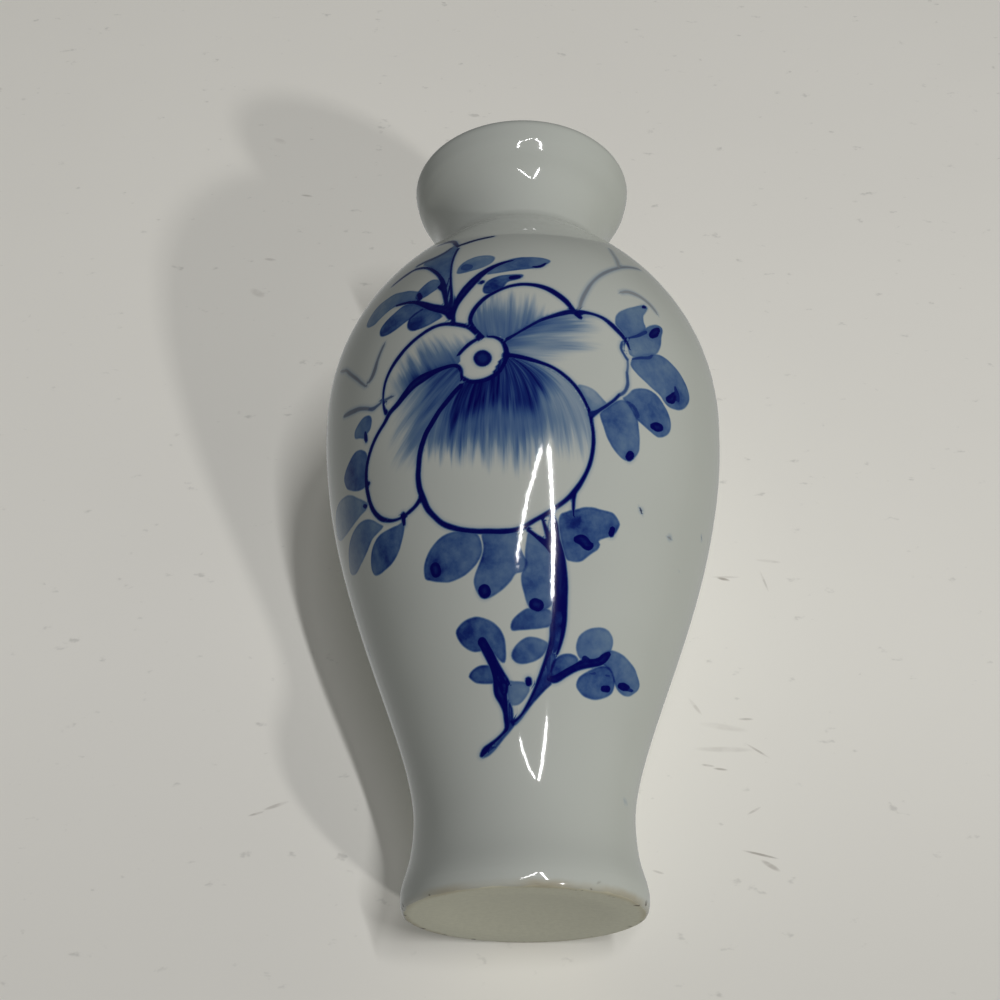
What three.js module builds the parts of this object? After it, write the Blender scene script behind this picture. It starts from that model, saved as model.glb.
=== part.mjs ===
// A small porcelain bud vase: a baluster body on a waisted foot, with a short flared neck.
// It is one hollow slip-cast piece, turned about +Z. Millimetres, with the origin on the
// surface that it stands on, at the centre of the foot.
import * as THREE from "three";

// Outside, from the foot up. Each radius is the outer one, and each height is above the table.
const height = 120;
const restRadius = 15.3; // outer edge of the bare face that the vase stands on
const footRadius = 16;
const footLevel = 2.1;
const waistRadius = 14.5;
const waistLevel = 11;
const bellyRadius = 29.5;
const bellyLevel = 72.3;
const neckRadius = 13.2;
const neckLevel = 104.8;
const mouthRadius = 17.6; // widest point of the lip
const flareAngle = 25; // degrees that the mouth leans out from upright

// How far the wall runs on upright past each level before it turns towards the next one.
const footFullness = 1.6;
const waistBelow = 4.4;
const waistAbove = 12.2;
const bellyBelow = 26.6;
const bellyAbove = 20.2;
const neckBelow = 3;
const neckAbove = 5.2;
const mouthFullness = 6;

// Wall, floor and the shallow dish under the foot.
const wall = 3.2;
const floorThickness = 5;
const floorFillet = 5;
const dishRadius = 11.8;
const dishDepth = 0.7;

// Steps of each stretch of the profile, and facets around.
const facets = 64;
const footSteps = 4;
const stemSteps = 4;
const bodySteps = 12;
const shoulderSteps = 11;
const mouthSteps = 4;
const lipSteps = 6;
const filletSteps = 4;
const dishSteps = 3;

const point = (radius, level) => new THREE.Vector2(radius, level);

// A stretch of wall between two places, leaving and arriving along the given directions.
function stretch(from, leaving, arriving, to, steps) {
  const curve = new THREE.CubicBezierCurve(from, from.clone().add(leaving), to.clone().sub(arriving), to);
  return Array.from({ length: steps }, (_, i) => ({
    place: curve.getPoint(i / steps),
    along: curve.getTangent(i / steps),
  }));
}

const lean = THREE.MathUtils.degToRad(flareAngle);
const lipRadius = wall / 2;
const lipCentre = point(mouthRadius - lipRadius, height - lipRadius);
const flareDirection = point(Math.sin(lean), Math.cos(lean));
const flareNormal = point(Math.cos(lean), -Math.sin(lean));
const flareEnd = lipCentre.clone().addScaledVector(flareNormal, lipRadius);

// The outside of the wall from the foot's widest level to the lip, as places and directions.
function outsideWall() {
  const up = (length) => point(0, length);
  const foot = point(footRadius, footLevel);
  const waist = point(waistRadius, waistLevel);
  const belly = point(bellyRadius, bellyLevel);
  const neck = point(neckRadius, neckLevel);
  const intoLip = flareDirection.clone().multiplyScalar(mouthFullness);
  return [
    ...stretch(foot, up(footFullness), up(waistBelow), waist, stemSteps),
    ...stretch(waist, up(waistAbove), up(bellyBelow), belly, bodySteps),
    ...stretch(belly, up(bellyAbove), up(neckBelow), neck, shoulderSteps),
    ...stretch(neck, up(neckAbove), intoLip, flareEnd, mouthSteps),
  ];
}

// The half-round lip, from the outside of the flare over to its inside.
function lip() {
  return Array.from({ length: lipSteps + 1 }, (_, i) => {
    const turn = -lean + (Math.PI * i) / lipSteps;
    return point(lipCentre.x + lipRadius * Math.cos(turn), lipCentre.y + lipRadius * Math.sin(turn));
  });
}

// The underside: a shallow dish, then the flat bare ring and the rounded edge of the foot.
function underside() {
  const dish = Array.from({ length: dishSteps }, (_, i) => {
    const share = i / dishSteps;
    return point(dishRadius * share, dishDepth * (1 - share * share));
  });
  const edge = new THREE.CubicBezierCurve(
    point(restRadius, 0),
    point((restRadius + 2 * footRadius) / 3, 0),
    point(footRadius, footLevel / 3),
    point(footRadius, footLevel),
  );
  return [...dish, point(dishRadius, 0), ...edge.getPoints(footSteps).slice(0, -1)];
}

// The inside of the wall follows the outside at the wall's thickness, down to the floor's fillet.
function insideWall(outside) {
  const offset = outside.map(({ place, along }) => point(place.x - wall * along.y, place.y + wall * along.x));
  const filletTop = floorThickness + floorFillet;
  const above = offset.filter((p) => p.y > filletTop).reverse();
  const radius = above[above.length - 1].x;
  const fillet = Array.from({ length: filletSteps + 1 }, (_, i) => {
    const turn = (Math.PI / 2) * (i / filletSteps);
    return point(
      radius - floorFillet * (1 - Math.cos(turn)),
      filletTop - floorFillet * Math.sin(turn),
    );
  });
  return [...above, ...fillet, point(0, floorThickness)];
}

function vase() {
  const outside = outsideWall();
  const profile = [...underside(), ...outside.map(({ place }) => place), ...lip(), ...insideWall(outside)];
  const geometry = new THREE.LatheGeometry(profile, facets);
  // The lathe turns about Y, and the vase stands along Z.
  geometry.rotateX(Math.PI / 2);
  const porcelain = new THREE.MeshStandardMaterial({ color: 0xc9cdca, roughness: 0.12, metalness: 0 });
  const mesh = new THREE.Mesh(geometry, porcelain);
  mesh.name = "vase";
  return mesh;
}

const budVase = new THREE.Group();
budVase.add(vase());

export default budVase;
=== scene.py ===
"""Bud vase: the porcelain wall with its cobalt painting and bare foot, and the stage it is shown on.

Sizes of the vase are in millimetres and angles in degrees, until a mesh is written in metres. The vase
stands on its foot at the origin, and its painted side faces -Y. A place on the wall is given by the angle
around, from the middle of the painted side towards +X, and the run, the length up the wall from the rim
of the foot.
"""

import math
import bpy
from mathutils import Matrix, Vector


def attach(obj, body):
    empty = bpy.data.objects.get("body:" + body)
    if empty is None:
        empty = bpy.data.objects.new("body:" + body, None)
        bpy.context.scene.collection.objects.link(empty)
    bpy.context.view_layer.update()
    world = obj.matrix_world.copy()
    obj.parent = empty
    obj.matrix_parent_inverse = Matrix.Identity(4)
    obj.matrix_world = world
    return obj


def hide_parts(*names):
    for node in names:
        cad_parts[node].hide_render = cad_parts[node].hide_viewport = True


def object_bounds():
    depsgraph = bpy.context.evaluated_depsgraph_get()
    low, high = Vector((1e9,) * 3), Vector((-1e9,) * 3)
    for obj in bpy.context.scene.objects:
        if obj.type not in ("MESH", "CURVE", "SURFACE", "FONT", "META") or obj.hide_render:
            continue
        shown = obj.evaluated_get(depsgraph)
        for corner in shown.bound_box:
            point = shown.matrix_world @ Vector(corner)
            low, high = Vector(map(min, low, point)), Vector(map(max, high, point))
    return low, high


bl_info = {
    "name": "Bud vase",
    "version": (1, 0, 0),
    "blender": (4, 5, 0),
    "location": "View3D > Sidebar > Bud vase",
    "description": "Builds a painted porcelain bud vase and a plain stage",
    "category": "Object",
}

import bpy
import numpy as np
from mathutils import Matrix, Vector

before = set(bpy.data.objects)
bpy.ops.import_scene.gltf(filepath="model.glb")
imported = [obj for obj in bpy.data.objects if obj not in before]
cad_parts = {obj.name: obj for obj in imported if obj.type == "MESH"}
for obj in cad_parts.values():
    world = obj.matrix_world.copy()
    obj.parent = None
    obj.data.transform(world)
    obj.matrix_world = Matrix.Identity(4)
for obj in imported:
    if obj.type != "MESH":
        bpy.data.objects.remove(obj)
CAD_BOX = [list(corner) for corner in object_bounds()]

MM = 0.001
FAR = 3.0  # distances to the painting are kept up to this many millimetres
STROKE = 0.85  # width of one stroke of the petals' shading, in millimetres
POOL = 2.4  # how far the pool of pigment in a leaf reaches, in millimetres
PAINTED_RUNS = (12, 104)  # the painting lies between these runs

# Radii and levels of the wall's stations. The waist and the flare are a little finer than the CAD's.
DISH_RADIUS = 11.8
DISH_DEPTH = 0.7
REST_RADIUS = 15.3
FOOT = (16.0, 2.1)
WAIST = (14.57, 11.6)
BELLY_LEVEL = 72.3
NECK = (13.2, 104.8)
MOUTH_RADIUS = 17.6
FLOOR = 5.0
FILLET = 5.0

# The flare's crease as a radius and a depth below the lip, and how far from upright the flare leans, in
# degrees: down the throat, at the crease and at the brow.
CREASE = (16.37, 5.45)
THROAT_LEAN, CREASE_LEAN, BROW_LEAN = (math.radians(degrees) for degrees in (25.0, 25.4, 12.0))

# Levels of the handles of each stretch's curve, then lengths of the handles that lie along the flare.
STEM_HANDLES = (4.3, 5.15)
BODY_HANDLES = (23.4, 45.64)
SHOULDER_HANDLES = (92.5, 101.8)
NECK_HANDLE = 111.92
INNER_NECK_HANDLE = 110.0
BELOW_CREASE, ABOVE_CREASE, BELOW_BROW, DOWN_THROAT = 1.79, 1.45, 2.96, 6.0

# Rows of the outside: the run where a stretch of them starts, and their count. Columns: two angles, and the
# count between them. They are close together over the painting and the sprig behind, and wide elsewhere.
ROW_SPANS = ((0, 8), (2.8, 10), (14.5, 236), (98.5, 12), (112, 32))
COLUMN_SPANS = ((-84, -64, 22), (-64, 54, 168), (54, 164, 22), (164, 196, 26), (196, 276, 15))

# Brush lines: how dark, how grey, then the angle, run and width of the line at each point.
LINES = (
    # The front petal, round its left side, bottom and right side to the eye.
    (1.0, 0.0, (
        (-17.3, 65.3, 0.9), (-19.0, 64.6, 0.85), (-21.4, 63.4, 0.85), (-23.8, 62.2, 0.85),
        (-25.9, 60.9, 0.85), (-27.9, 59.7, 0.85), (-29.6, 58.2, 0.85), (-30.7, 56.8, 0.8),
        (-31.4, 55.3, 0.8), (-31.9, 53.9, 0.85), (-31.9, 52.4, 0.85), (-31.2, 51.0, 0.9),
        (-30.1, 49.4, 0.85), (-28.3, 48.2, 0.75), (-25.9, 47.0, 0.75), (-22.9, 46.2, 0.75),
        (-19.4, 45.6, 0.72), (-15.5, 45.2, 0.7), (-11.2, 45.0, 0.75), (-7.3, 44.85, 0.75),
        (-3.8, 44.95, 0.65), (-0.8, 45.4, 0.6), (2.2, 46.2, 0.6), (5.7, 47.1, 0.6), (8.7, 48.1, 0.55),
        (11.8, 49.3, 0.65), (14.4, 50.8, 0.7), (16.1, 52.2, 0.6), (17.4, 53.7, 0.55), (18.2, 55.3, 0.55),
        (18.5, 57.0, 0.55), (18.3, 58.6, 0.55), (17.7, 60.1, 0.6), (17.2, 61.3, 0.65), (16.1, 62.5, 0.55),
        (14.6, 63.8, 0.55), (12.6, 65.1, 0.55), (10.0, 66.3, 0.55), (7.0, 67.3, 0.5), (3.5, 68.0, 0.55),
        (-0.4, 68.6, 0.75), (-3.4, 69.0, 0.8), (-5.6, 69.1, 0.8),
    )),
    # The left petal, from the eye over its top and round to the front petal.
    (1.0, 0.0, (
        (-17.2, 66.2, 0.5), (-17.2, 67.3, 0.6), (-17.9, 68.1, 0.7), (-19.4, 68.5, 0.7), (-22.5, 68.4, 0.8),
        (-25.5, 68.1, 1.1), (-28.5, 67.7, 1.45), (-31.2, 67.2, 1.4), (-33.7, 66.3, 1.1),
        (-36.6, 65.2, 0.85), (-39.5, 64.4, 0.75), (-41.7, 63.3, 0.65), (-44.3, 62.35, 0.6),
        (-46.5, 61.4, 0.6), (-48.3, 60.4, 0.65), (-49.8, 59.4, 0.7), (-50.9, 58.4, 0.75),
        (-51.6, 57.3, 0.8), (-52.0, 56.2, 0.8), (-52.0, 55.0, 0.8), (-51.8, 53.8, 0.75), (-51.1, 52.5, 0.8),
        (-49.8, 51.4, 0.8), (-48.0, 50.5, 0.8), (-45.8, 49.9, 0.65), (-43.6, 49.5, 0.45),
        (-41.4, 49.35, 0.35), (-39.2, 49.4, 0.45), (-36.6, 49.7, 0.5), (-34.4, 50.1, 0.5),
        (-32.6, 50.7, 0.6), (-31.2, 51.5, 0.6),
    )),
    # The upper left petal, and the short ticks where petals meet.
    (1.0, 0.0, (
        (-12.1, 72.1, 0.5), (-13.4, 73.0, 0.5), (-15.0, 74.0, 0.6), (-17.0, 74.6, 0.65),
        (-19.6, 75.1, 0.65), (-22.0, 75.4, 0.6), (-24.4, 75.4, 0.55), (-26.8, 75.1, 0.6),
        (-29.2, 74.6, 0.6), (-31.6, 74.0, 0.65), (-34.0, 73.2, 0.65), (-36.4, 72.2, 0.7),
        (-38.4, 71.2, 0.6), (-40.0, 70.1, 0.55), (-41.0, 69.0, 0.5), (-41.6, 67.7, 0.42),
        (-41.8, 66.5, 0.4), (-41.5, 65.4, 0.5), (-40.9, 64.7, 0.8),
    )),
    (1.0, 0.0, ((-38.9, 49.7, 0.75), (-39.1, 49.0, 0.75), (-39.2, 48.3, 0.6))),
    (1.0, 0.0, ((-51.6, 56.3, 0.6), (-50.7, 56.1, 0.55))),
    (1.0, 0.0, ((13.6, 50.2, 0.8), (13.7, 49.2, 0.5), (13.8, 48.1, 0.42), (14.0, 47.2, 0.35))),
    (1.0, 0.0, ((13.4, 76.3, 1.0), (14.4, 75.7, 0.7))),
    # Round the eye.
    (1.0, 0.0, ((-17.9, 70.0, 0.5), (-16.6, 70.7, 0.55), (-14.7, 71.5, 0.6), (-12.6, 72.05, 0.5))),
    (1.0, 0.0, (
        (-9.9, 72.2, 0.4), (-8.2, 72.05, 0.5), (-6.4, 71.4, 0.6), (-5.4, 70.4, 0.75), (-5.1, 69.1, 0.8),
        (-5.8, 67.8, 0.75), (-7.3, 66.6, 0.7), (-9.7, 65.8, 0.75), (-12.5, 65.5, 0.8), (-15.1, 65.7, 0.75),
        (-17.0, 66.5, 0.6),
    )),
    (0.98, 0.0, ((-11.6, 69.05, 2.3), (-11.3, 68.85, 2.4))),
    # The top petal.
    (1.0, 0.0, (
        (-11.3, 72.3, 0.5), (-13.6, 73.8, 0.6), (-14.7, 75.1, 0.65), (-14.2, 76.4, 0.7), (-12.9, 77.6, 0.7),
        (-10.8, 78.8, 0.65), (-8.2, 79.7, 0.6), (-5.1, 80.5, 0.6), (-1.4, 80.95, 0.6), (2.2, 80.85, 0.65),
        (5.3, 80.35, 0.8), (7.9, 79.5, 0.95), (10.3, 78.4, 0.9), (11.9, 77.3, 0.75), (12.9, 76.4, 0.8),
    )),
    # The right petal, whose far side is thin and broken.
    (0.97, 0.0, (
        (-4.9, 71.6, 0.7), (-2.5, 72.4, 0.5), (0.6, 73.5, 0.55), (3.8, 74.6, 0.62), (7.4, 75.5, 0.65),
        (11.6, 76.4, 0.85), (14.7, 76.65, 0.75), (17.8, 76.7, 0.5), (20.9, 76.35, 0.6), (23.5, 75.5, 0.8),
        (26.1, 74.4, 0.75), (27.7, 73.4, 0.6), (28.4, 72.6, 0.4),
    )),
    (0.72, 0.1, ((26.2, 73.0, 0.5), (25.9, 72.1, 0.45), (26.9, 71.2, 0.4), (27.7, 70.7, 0.45))),
    (0.5, 0.2, ((27.8, 70.6, 0.35), (27.9, 69.7, 0.3), (27.7, 68.8, 0.35))),
    (0.68, 0.15, (
        (27.6, 68.7, 0.4), (27.8, 67.8, 0.45), (27.9, 66.8, 0.5), (27.1, 65.7, 0.45), (25.8, 65.0, 0.5),
    )),
    (0.92, 0.0, (
        (25.5, 65.0, 0.45), (24.0, 64.0, 0.5), (22.0, 63.0, 0.5), (19.7, 62.0, 0.55), (18.4, 61.5, 0.8),
        (17.4, 61.1, 0.9),
    )),
    # Stems above the flower, then the twigs at their ends.
    (1.0, 0.0, (
        (-20.4, 76.4, 0.9), (-21.2, 77.5, 1.4), (-23.8, 78.3, 1.35), (-26.4, 79.1, 1.2),
        (-29.0, 80.1, 0.95), (-31.6, 81.0, 0.75), (-34.7, 81.7, 0.65), (-38.8, 82.2, 0.45),
    )),
    (0.97, 0.05, (
        (-21.2, 77.8, 0.7), (-22.2, 80.2, 0.75), (-23.2, 82.4, 1.0), (-24.1, 84.0, 0.75),
        (-25.9, 85.7, 0.65), (-28.0, 87.1, 0.65), (-30.6, 88.5, 0.6), (-33.7, 89.4, 0.6),
        (-36.8, 89.9, 0.6), (-39.9, 89.6, 0.75), (-42.5, 89.1, 0.7), (-45.0, 88.6, 0.5),
    )),
    (0.97, 0.05, (
        (-20.1, 77.6, 0.7), (-20.2, 79.0, 0.55), (-20.6, 80.9, 0.5), (-21.3, 83.3, 0.45),
        (-21.9, 85.7, 0.4), (-22.3, 88.1, 0.4), (-22.3, 90.5, 0.45), (-22.0, 92.0, 0.5),
    )),
    (0.93, 0.45, (
        (-23.0, 93.2, 0.6), (-20.4, 93.4, 0.8), (-17.5, 93.8, 0.7), (-14.4, 94.1, 0.65),
        (-11.0, 94.35, 0.55),
    )),
    (0.9, 0.35, (
        (-22.4, 92.8, 0.6), (-24.2, 94.3, 0.7), (-25.6, 95.5, 0.7), (-27.6, 96.3, 0.8), (-30.0, 96.7, 0.9),
        (-33.0, 96.9, 0.7),
    )),
    (0.72, 0.35, (
        (-24.8, 93.0, 0.6), (-26.9, 91.8, 0.8), (-30.0, 91.2, 0.8), (-33.4, 91.1, 0.8), (-36.6, 91.0, 0.6),
    )),
    (1.0, 0.0, (
        (-19.3, 75.3, 0.5), (-19.6, 76.8, 0.75), (-18.8, 78.5, 1.0), (-17.2, 80.2, 1.35),
        (-15.0, 81.9, 1.4), (-12.4, 83.6, 1.15), (-9.2, 85.0, 0.85), (-5.9, 85.9, 0.6), (-3.6, 86.3, 0.35),
    )),
    # Faint twigs left of the flower and the pale stem right of it.
    (0.42, 0.75, (
        (-60.2, 68.7, 0.5), (-57.6, 68.4, 0.7), (-54.4, 68.0, 0.7), (-52.0, 67.7, 0.6), (-49.6, 67.2, 0.5),
        (-47.6, 66.7, 0.5),
    )),
    (0.6, 0.5, (
        (-47.8, 66.7, 0.4), (-45.8, 66.3, 0.6), (-44.0, 66.4, 0.45), (-41.6, 66.6, 0.4),
        (-38.6, 66.7, 0.35),
    )),
    (0.34, 0.85, (
        (-64.4, 77.5, 0.35), (-62.0, 76.8, 0.5), (-60.0, 76.3, 0.5), (-57.6, 75.1, 0.55),
        (-55.2, 73.9, 0.5), (-52.8, 72.7, 0.45), (-50.8, 71.6, 0.4), (-48.9, 70.6, 0.3),
    )),
    (0.4, 0.8, (
        (-41.6, 75.7, 0.35), (-42.8, 74.7, 0.45), (-44.0, 73.5, 0.5), (-44.9, 72.3, 0.75),
        (-46.0, 71.4, 0.7), (-47.4, 70.9, 0.4),
    )),
    (0.27, 0.75, (
        (14.1, 77.0, 0.45), (15.2, 79.0, 0.5), (16.8, 80.9, 0.5), (18.8, 82.8, 0.45), (21.4, 84.6, 0.45),
        (24.6, 86.3, 0.5), (28.2, 87.9, 0.5), (31.8, 89.3, 0.5), (35.8, 90.5, 0.45), (41.0, 91.8, 0.4),
    )),
    (0.15, 0.85, ((30.0, 88.9, 0.5), (30.8, 91.2, 0.55), (30.9, 93.1, 0.5), (31.4, 94.9, 0.4))),
    (0.2, 0.9, (
        (27.6, 82.3, 0.4), (29.6, 82.9, 0.6), (32.0, 83.1, 0.7), (34.4, 83.0, 0.6), (36.8, 82.5, 0.6),
        (38.4, 81.9, 0.6), (39.6, 81.2, 0.4),
    )),
    # The main stem: its two dark sides, and the ends of the side stems that join it.
    (1.0, 0.0, ((0.4, 45.0, 0.5), (2.6, 44.3, 0.55), (4.6, 43.7, 0.8), (6.6, 43.1, 1.0), (8.3, 42.2, 0.9))),
    (1.0, 0.0, ((4.8, 46.4, 0.35), (5.6, 45.4, 0.55), (6.6, 44.4, 0.75), (7.6, 43.4, 0.9))),
    (1.0, 0.0, ((7.4, 47.1, 0.5), (8.3, 45.8, 1.0), (8.9, 44.2, 1.1), (9.6, 42.6, 1.2))),
    (1.0, 0.0, (
        (7.9, 43.0, 0.7), (8.6, 41.4, 0.8), (9.2, 39.6, 0.85), (9.6, 37.6, 0.85), (9.8, 35.4, 0.7),
        (9.6, 33.4, 0.6), (9.3, 31.6, 0.55), (8.3, 29.6, 0.6), (7.0, 28.0, 0.55), (5.2, 26.2, 0.5),
        (3.4, 24.7, 0.45), (1.2, 23.3, 0.42), (-1.6, 21.9, 0.42), (-4.2, 21.1, 0.5), (-6.4, 20.8, 0.65),
    )),
    (1.0, 0.0, (
        (9.7, 43.6, 0.8), (10.8, 42.0, 1.0), (11.7, 40.2, 1.05), (12.5, 38.2, 1.0), (13.0, 36.2, 0.85),
        (13.4, 34.0, 0.75), (13.2, 32.0, 0.65), (12.4, 30.4, 0.5), (11.6, 29.4, 0.35),
    )),
    (1.0, 0.0, ((10.2, 42.0, 1.3), (10.9, 39.0, 1.45), (11.4, 36.8, 1.3), (11.5, 35.4, 0.8))),
    (0.95, 0.0, ((9.6, 33.0, 0.9), (9.6, 31.0, 0.8), (9.2, 29.6, 0.5))),
    (0.82, 0.0, ((9.0, 29.0, 0.5), (8.6, 27.6, 0.6), (9.2, 26.4, 0.7))),
    # The branch to the right.
    (1.0, 0.0, (
        (9.2, 26.3, 0.9), (11.6, 26.3, 1.05), (15.3, 27.1, 1.0), (19.0, 27.9, 1.0), (22.9, 28.6, 1.25),
        (26.8, 28.95, 1.2), (29.7, 29.35, 1.2), (31.3, 29.9, 1.3), (32.8, 30.45, 0.9),
    )),
    (0.95, 0.0, ((22.9, 29.3, 0.9), (24.6, 29.3, 0.5))),
    # The branch to the left, in two strokes, and the tail of the stem.
    (1.0, 0.0, (
        (-16.5, 31.1, 1.3), (-13.9, 29.7, 0.95), (-11.8, 28.4, 0.6), (-9.9, 27.2, 0.55), (-8.2, 26.2, 0.6),
        (-6.9, 25.6, 0.35),
    )),
    (1.0, 0.0, (
        (-16.7, 31.0, 1.2), (-15.0, 29.4, 0.9), (-13.7, 28.0, 0.65), (-12.7, 26.6, 0.7), (-11.7, 25.4, 1.2),
        (-10.7, 24.4, 1.6), (-9.7, 23.3, 1.1), (-9.0, 22.2, 0.75), (-8.8, 21.2, 0.65), (-8.7, 20.1, 0.6),
        (-10.6, 19.45, 0.42), (-13.6, 18.75, 0.42), (-16.9, 18.15, 0.55), (-19.4, 17.6, 0.85),
        (-21.3, 17.05, 0.65),
    )),
    (0.88, 0.0, ((-9.2, 26.0, 1.2), (-9.6, 24.9, 1.2), (-9.2, 23.8, 0.8))),
    (0.9, 0.0, ((-7.2, 23.2, 0.35), (-6.4, 22.3, 0.38), (-6.3, 21.3, 0.42))),
    (0.8, 0.0, ((-17.8, 17.5, 0.5), (-14.8, 17.9, 0.35))),
)

# Dark dabs on the leaves: how dark, then the angle, run and width at each end.
DABS = (
    (1.0, ((2.4, 84.65, 0.5), (4.2, 84.9, 0.6), (5.6, 85.6, 0.45))),
    (1.0, ((-3.9, 82.35, 0.95), (-2.0, 82.5, 0.9))),
    (0.95, ((-12.2, 81.85, 0.75), (-11.9, 81.95, 0.75))),
    (1.0, ((-31.2, 82.6, 0.8), (-30.3, 81.6, 0.9))),
    (1.0, ((-24.6, 82.8, 0.8), (-23.5, 82.0, 0.7))),
    (1.0, ((34.4, 80.9, 0.55), (35.3, 81.2, 0.65))),
    (1.0, ((36.0, 76.1, 1.0), (37.6, 77.0, 1.4), (39.2, 78.0, 0.8))),
    (0.8, ((28.2, 74.2, 0.4), (31.2, 75.1, 0.6), (34.3, 76.4, 0.7))),
    (0.78, ((29.6, 71.05, 0.4), (32.2, 71.7, 0.6), (34.8, 72.2, 0.6), (36.0, 72.8, 0.5))),
    (1.0, ((41.9, 67.05, 1.1), (43.4, 67.5, 1.5), (44.2, 68.3, 1.0))),
    (0.86, ((44.8, 69.5, 0.8), (45.6, 68.6, 1.2), (46.0, 67.9, 0.9))),
    (0.78, ((28.2, 64.25, 0.5), (30.3, 63.7, 0.8), (31.6, 62.7, 0.8))),
    (1.0, ((36.5, 62.0, 0.9), (38.2, 62.2, 1.5), (39.6, 62.4, 1.2))),
    (1.0, ((29.5, 56.5, 1.15), (30.1, 56.9, 1.3))),
    (1.0, ((26.8, 46.35, 0.95), (26.5, 45.75, 1.0))),
    (1.0, ((15.6, 44.2, 1.1), (17.4, 44.2, 1.6), (19.3, 43.6, 1.4), (20.6, 43.8, 0.7))),
    (1.0, ((-30.4, 41.45, 1.75), (-30.2, 40.95, 1.75))),
    (1.0, ((-14.2, 37.5, 1.75), (-14.0, 37.3, 1.7))),
    (1.0, ((2.9, 35.55, 1.7), (3.9, 35.4, 1.7))),
    (0.72, ((1.5, 38.4, 0.7), (1.6, 37.9, 0.75))),
    (1.0, ((0.8, 26.0, 0.85), (0.9, 25.6, 0.85))),
    (1.0, ((33.2, 26.05, 0.95), (35.5, 26.15, 1.05))),
    (1.0, ((41.2, 27.0, 0.9), (43.5, 27.05, 1.2), (46.2, 27.1, 0.9))),
    (0.85, ((47.0, 27.0, 0.7), (49.0, 27.0, 0.5))),
    (0.8, ((26.6, 27.55, 0.4), (28.2, 27.7, 0.6))),
    (0.8, ((33.6, 27.75, 0.5), (34.8, 27.8, 0.5))),
    (0.95, ((-49.8, 63.5, 0.6), (-49.8, 62.8, 0.8), (-49.6, 62.2, 0.6))),
    (0.95, ((-55.0, 53.6, 0.6), (-54.0, 53.35, 0.7))),
    (0.7, ((-17.6, 86.0, 1.5), (-16.6, 85.7, 1.6))),
    (0.75, ((-31.3, 77.3, 1.9), (-30.5, 77.1, 2.0))),
    (0.78, ((-42.0, 78.0, 0.8), (-40.2, 78.2, 0.9))),
    (0.62, ((-3.2, 29.2, 1.4), (-2.4, 28.9, 1.4))),
)

# Specks in the glaze: how dark, then the angle, run and width at each end.
SPECKS = (
    (0.9, ((35.8, 50.0, 0.3), (36.0, 49.9, 0.3))),
    (0.2, ((49.5, 48.2, 0.4), (49.6, 48.2, 0.4))),
    (0.2, ((57.1, 45.0, 0.3), (57.3, 45.0, 0.3))),
    (0.3, ((69.5, 52.0, 0.3), (70.5, 51.8, 0.3))),
    (0.3, ((60.8, 13.2, 0.3), (61.4, 13.1, 0.3))),
    (0.34, ((65.2, 8.1, 0.35), (65.9, 7.9, 0.3))),
    (0.6, ((-82.0, 37.2, 0.3), (-82.0, 36.2, 0.3))),
)

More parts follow.
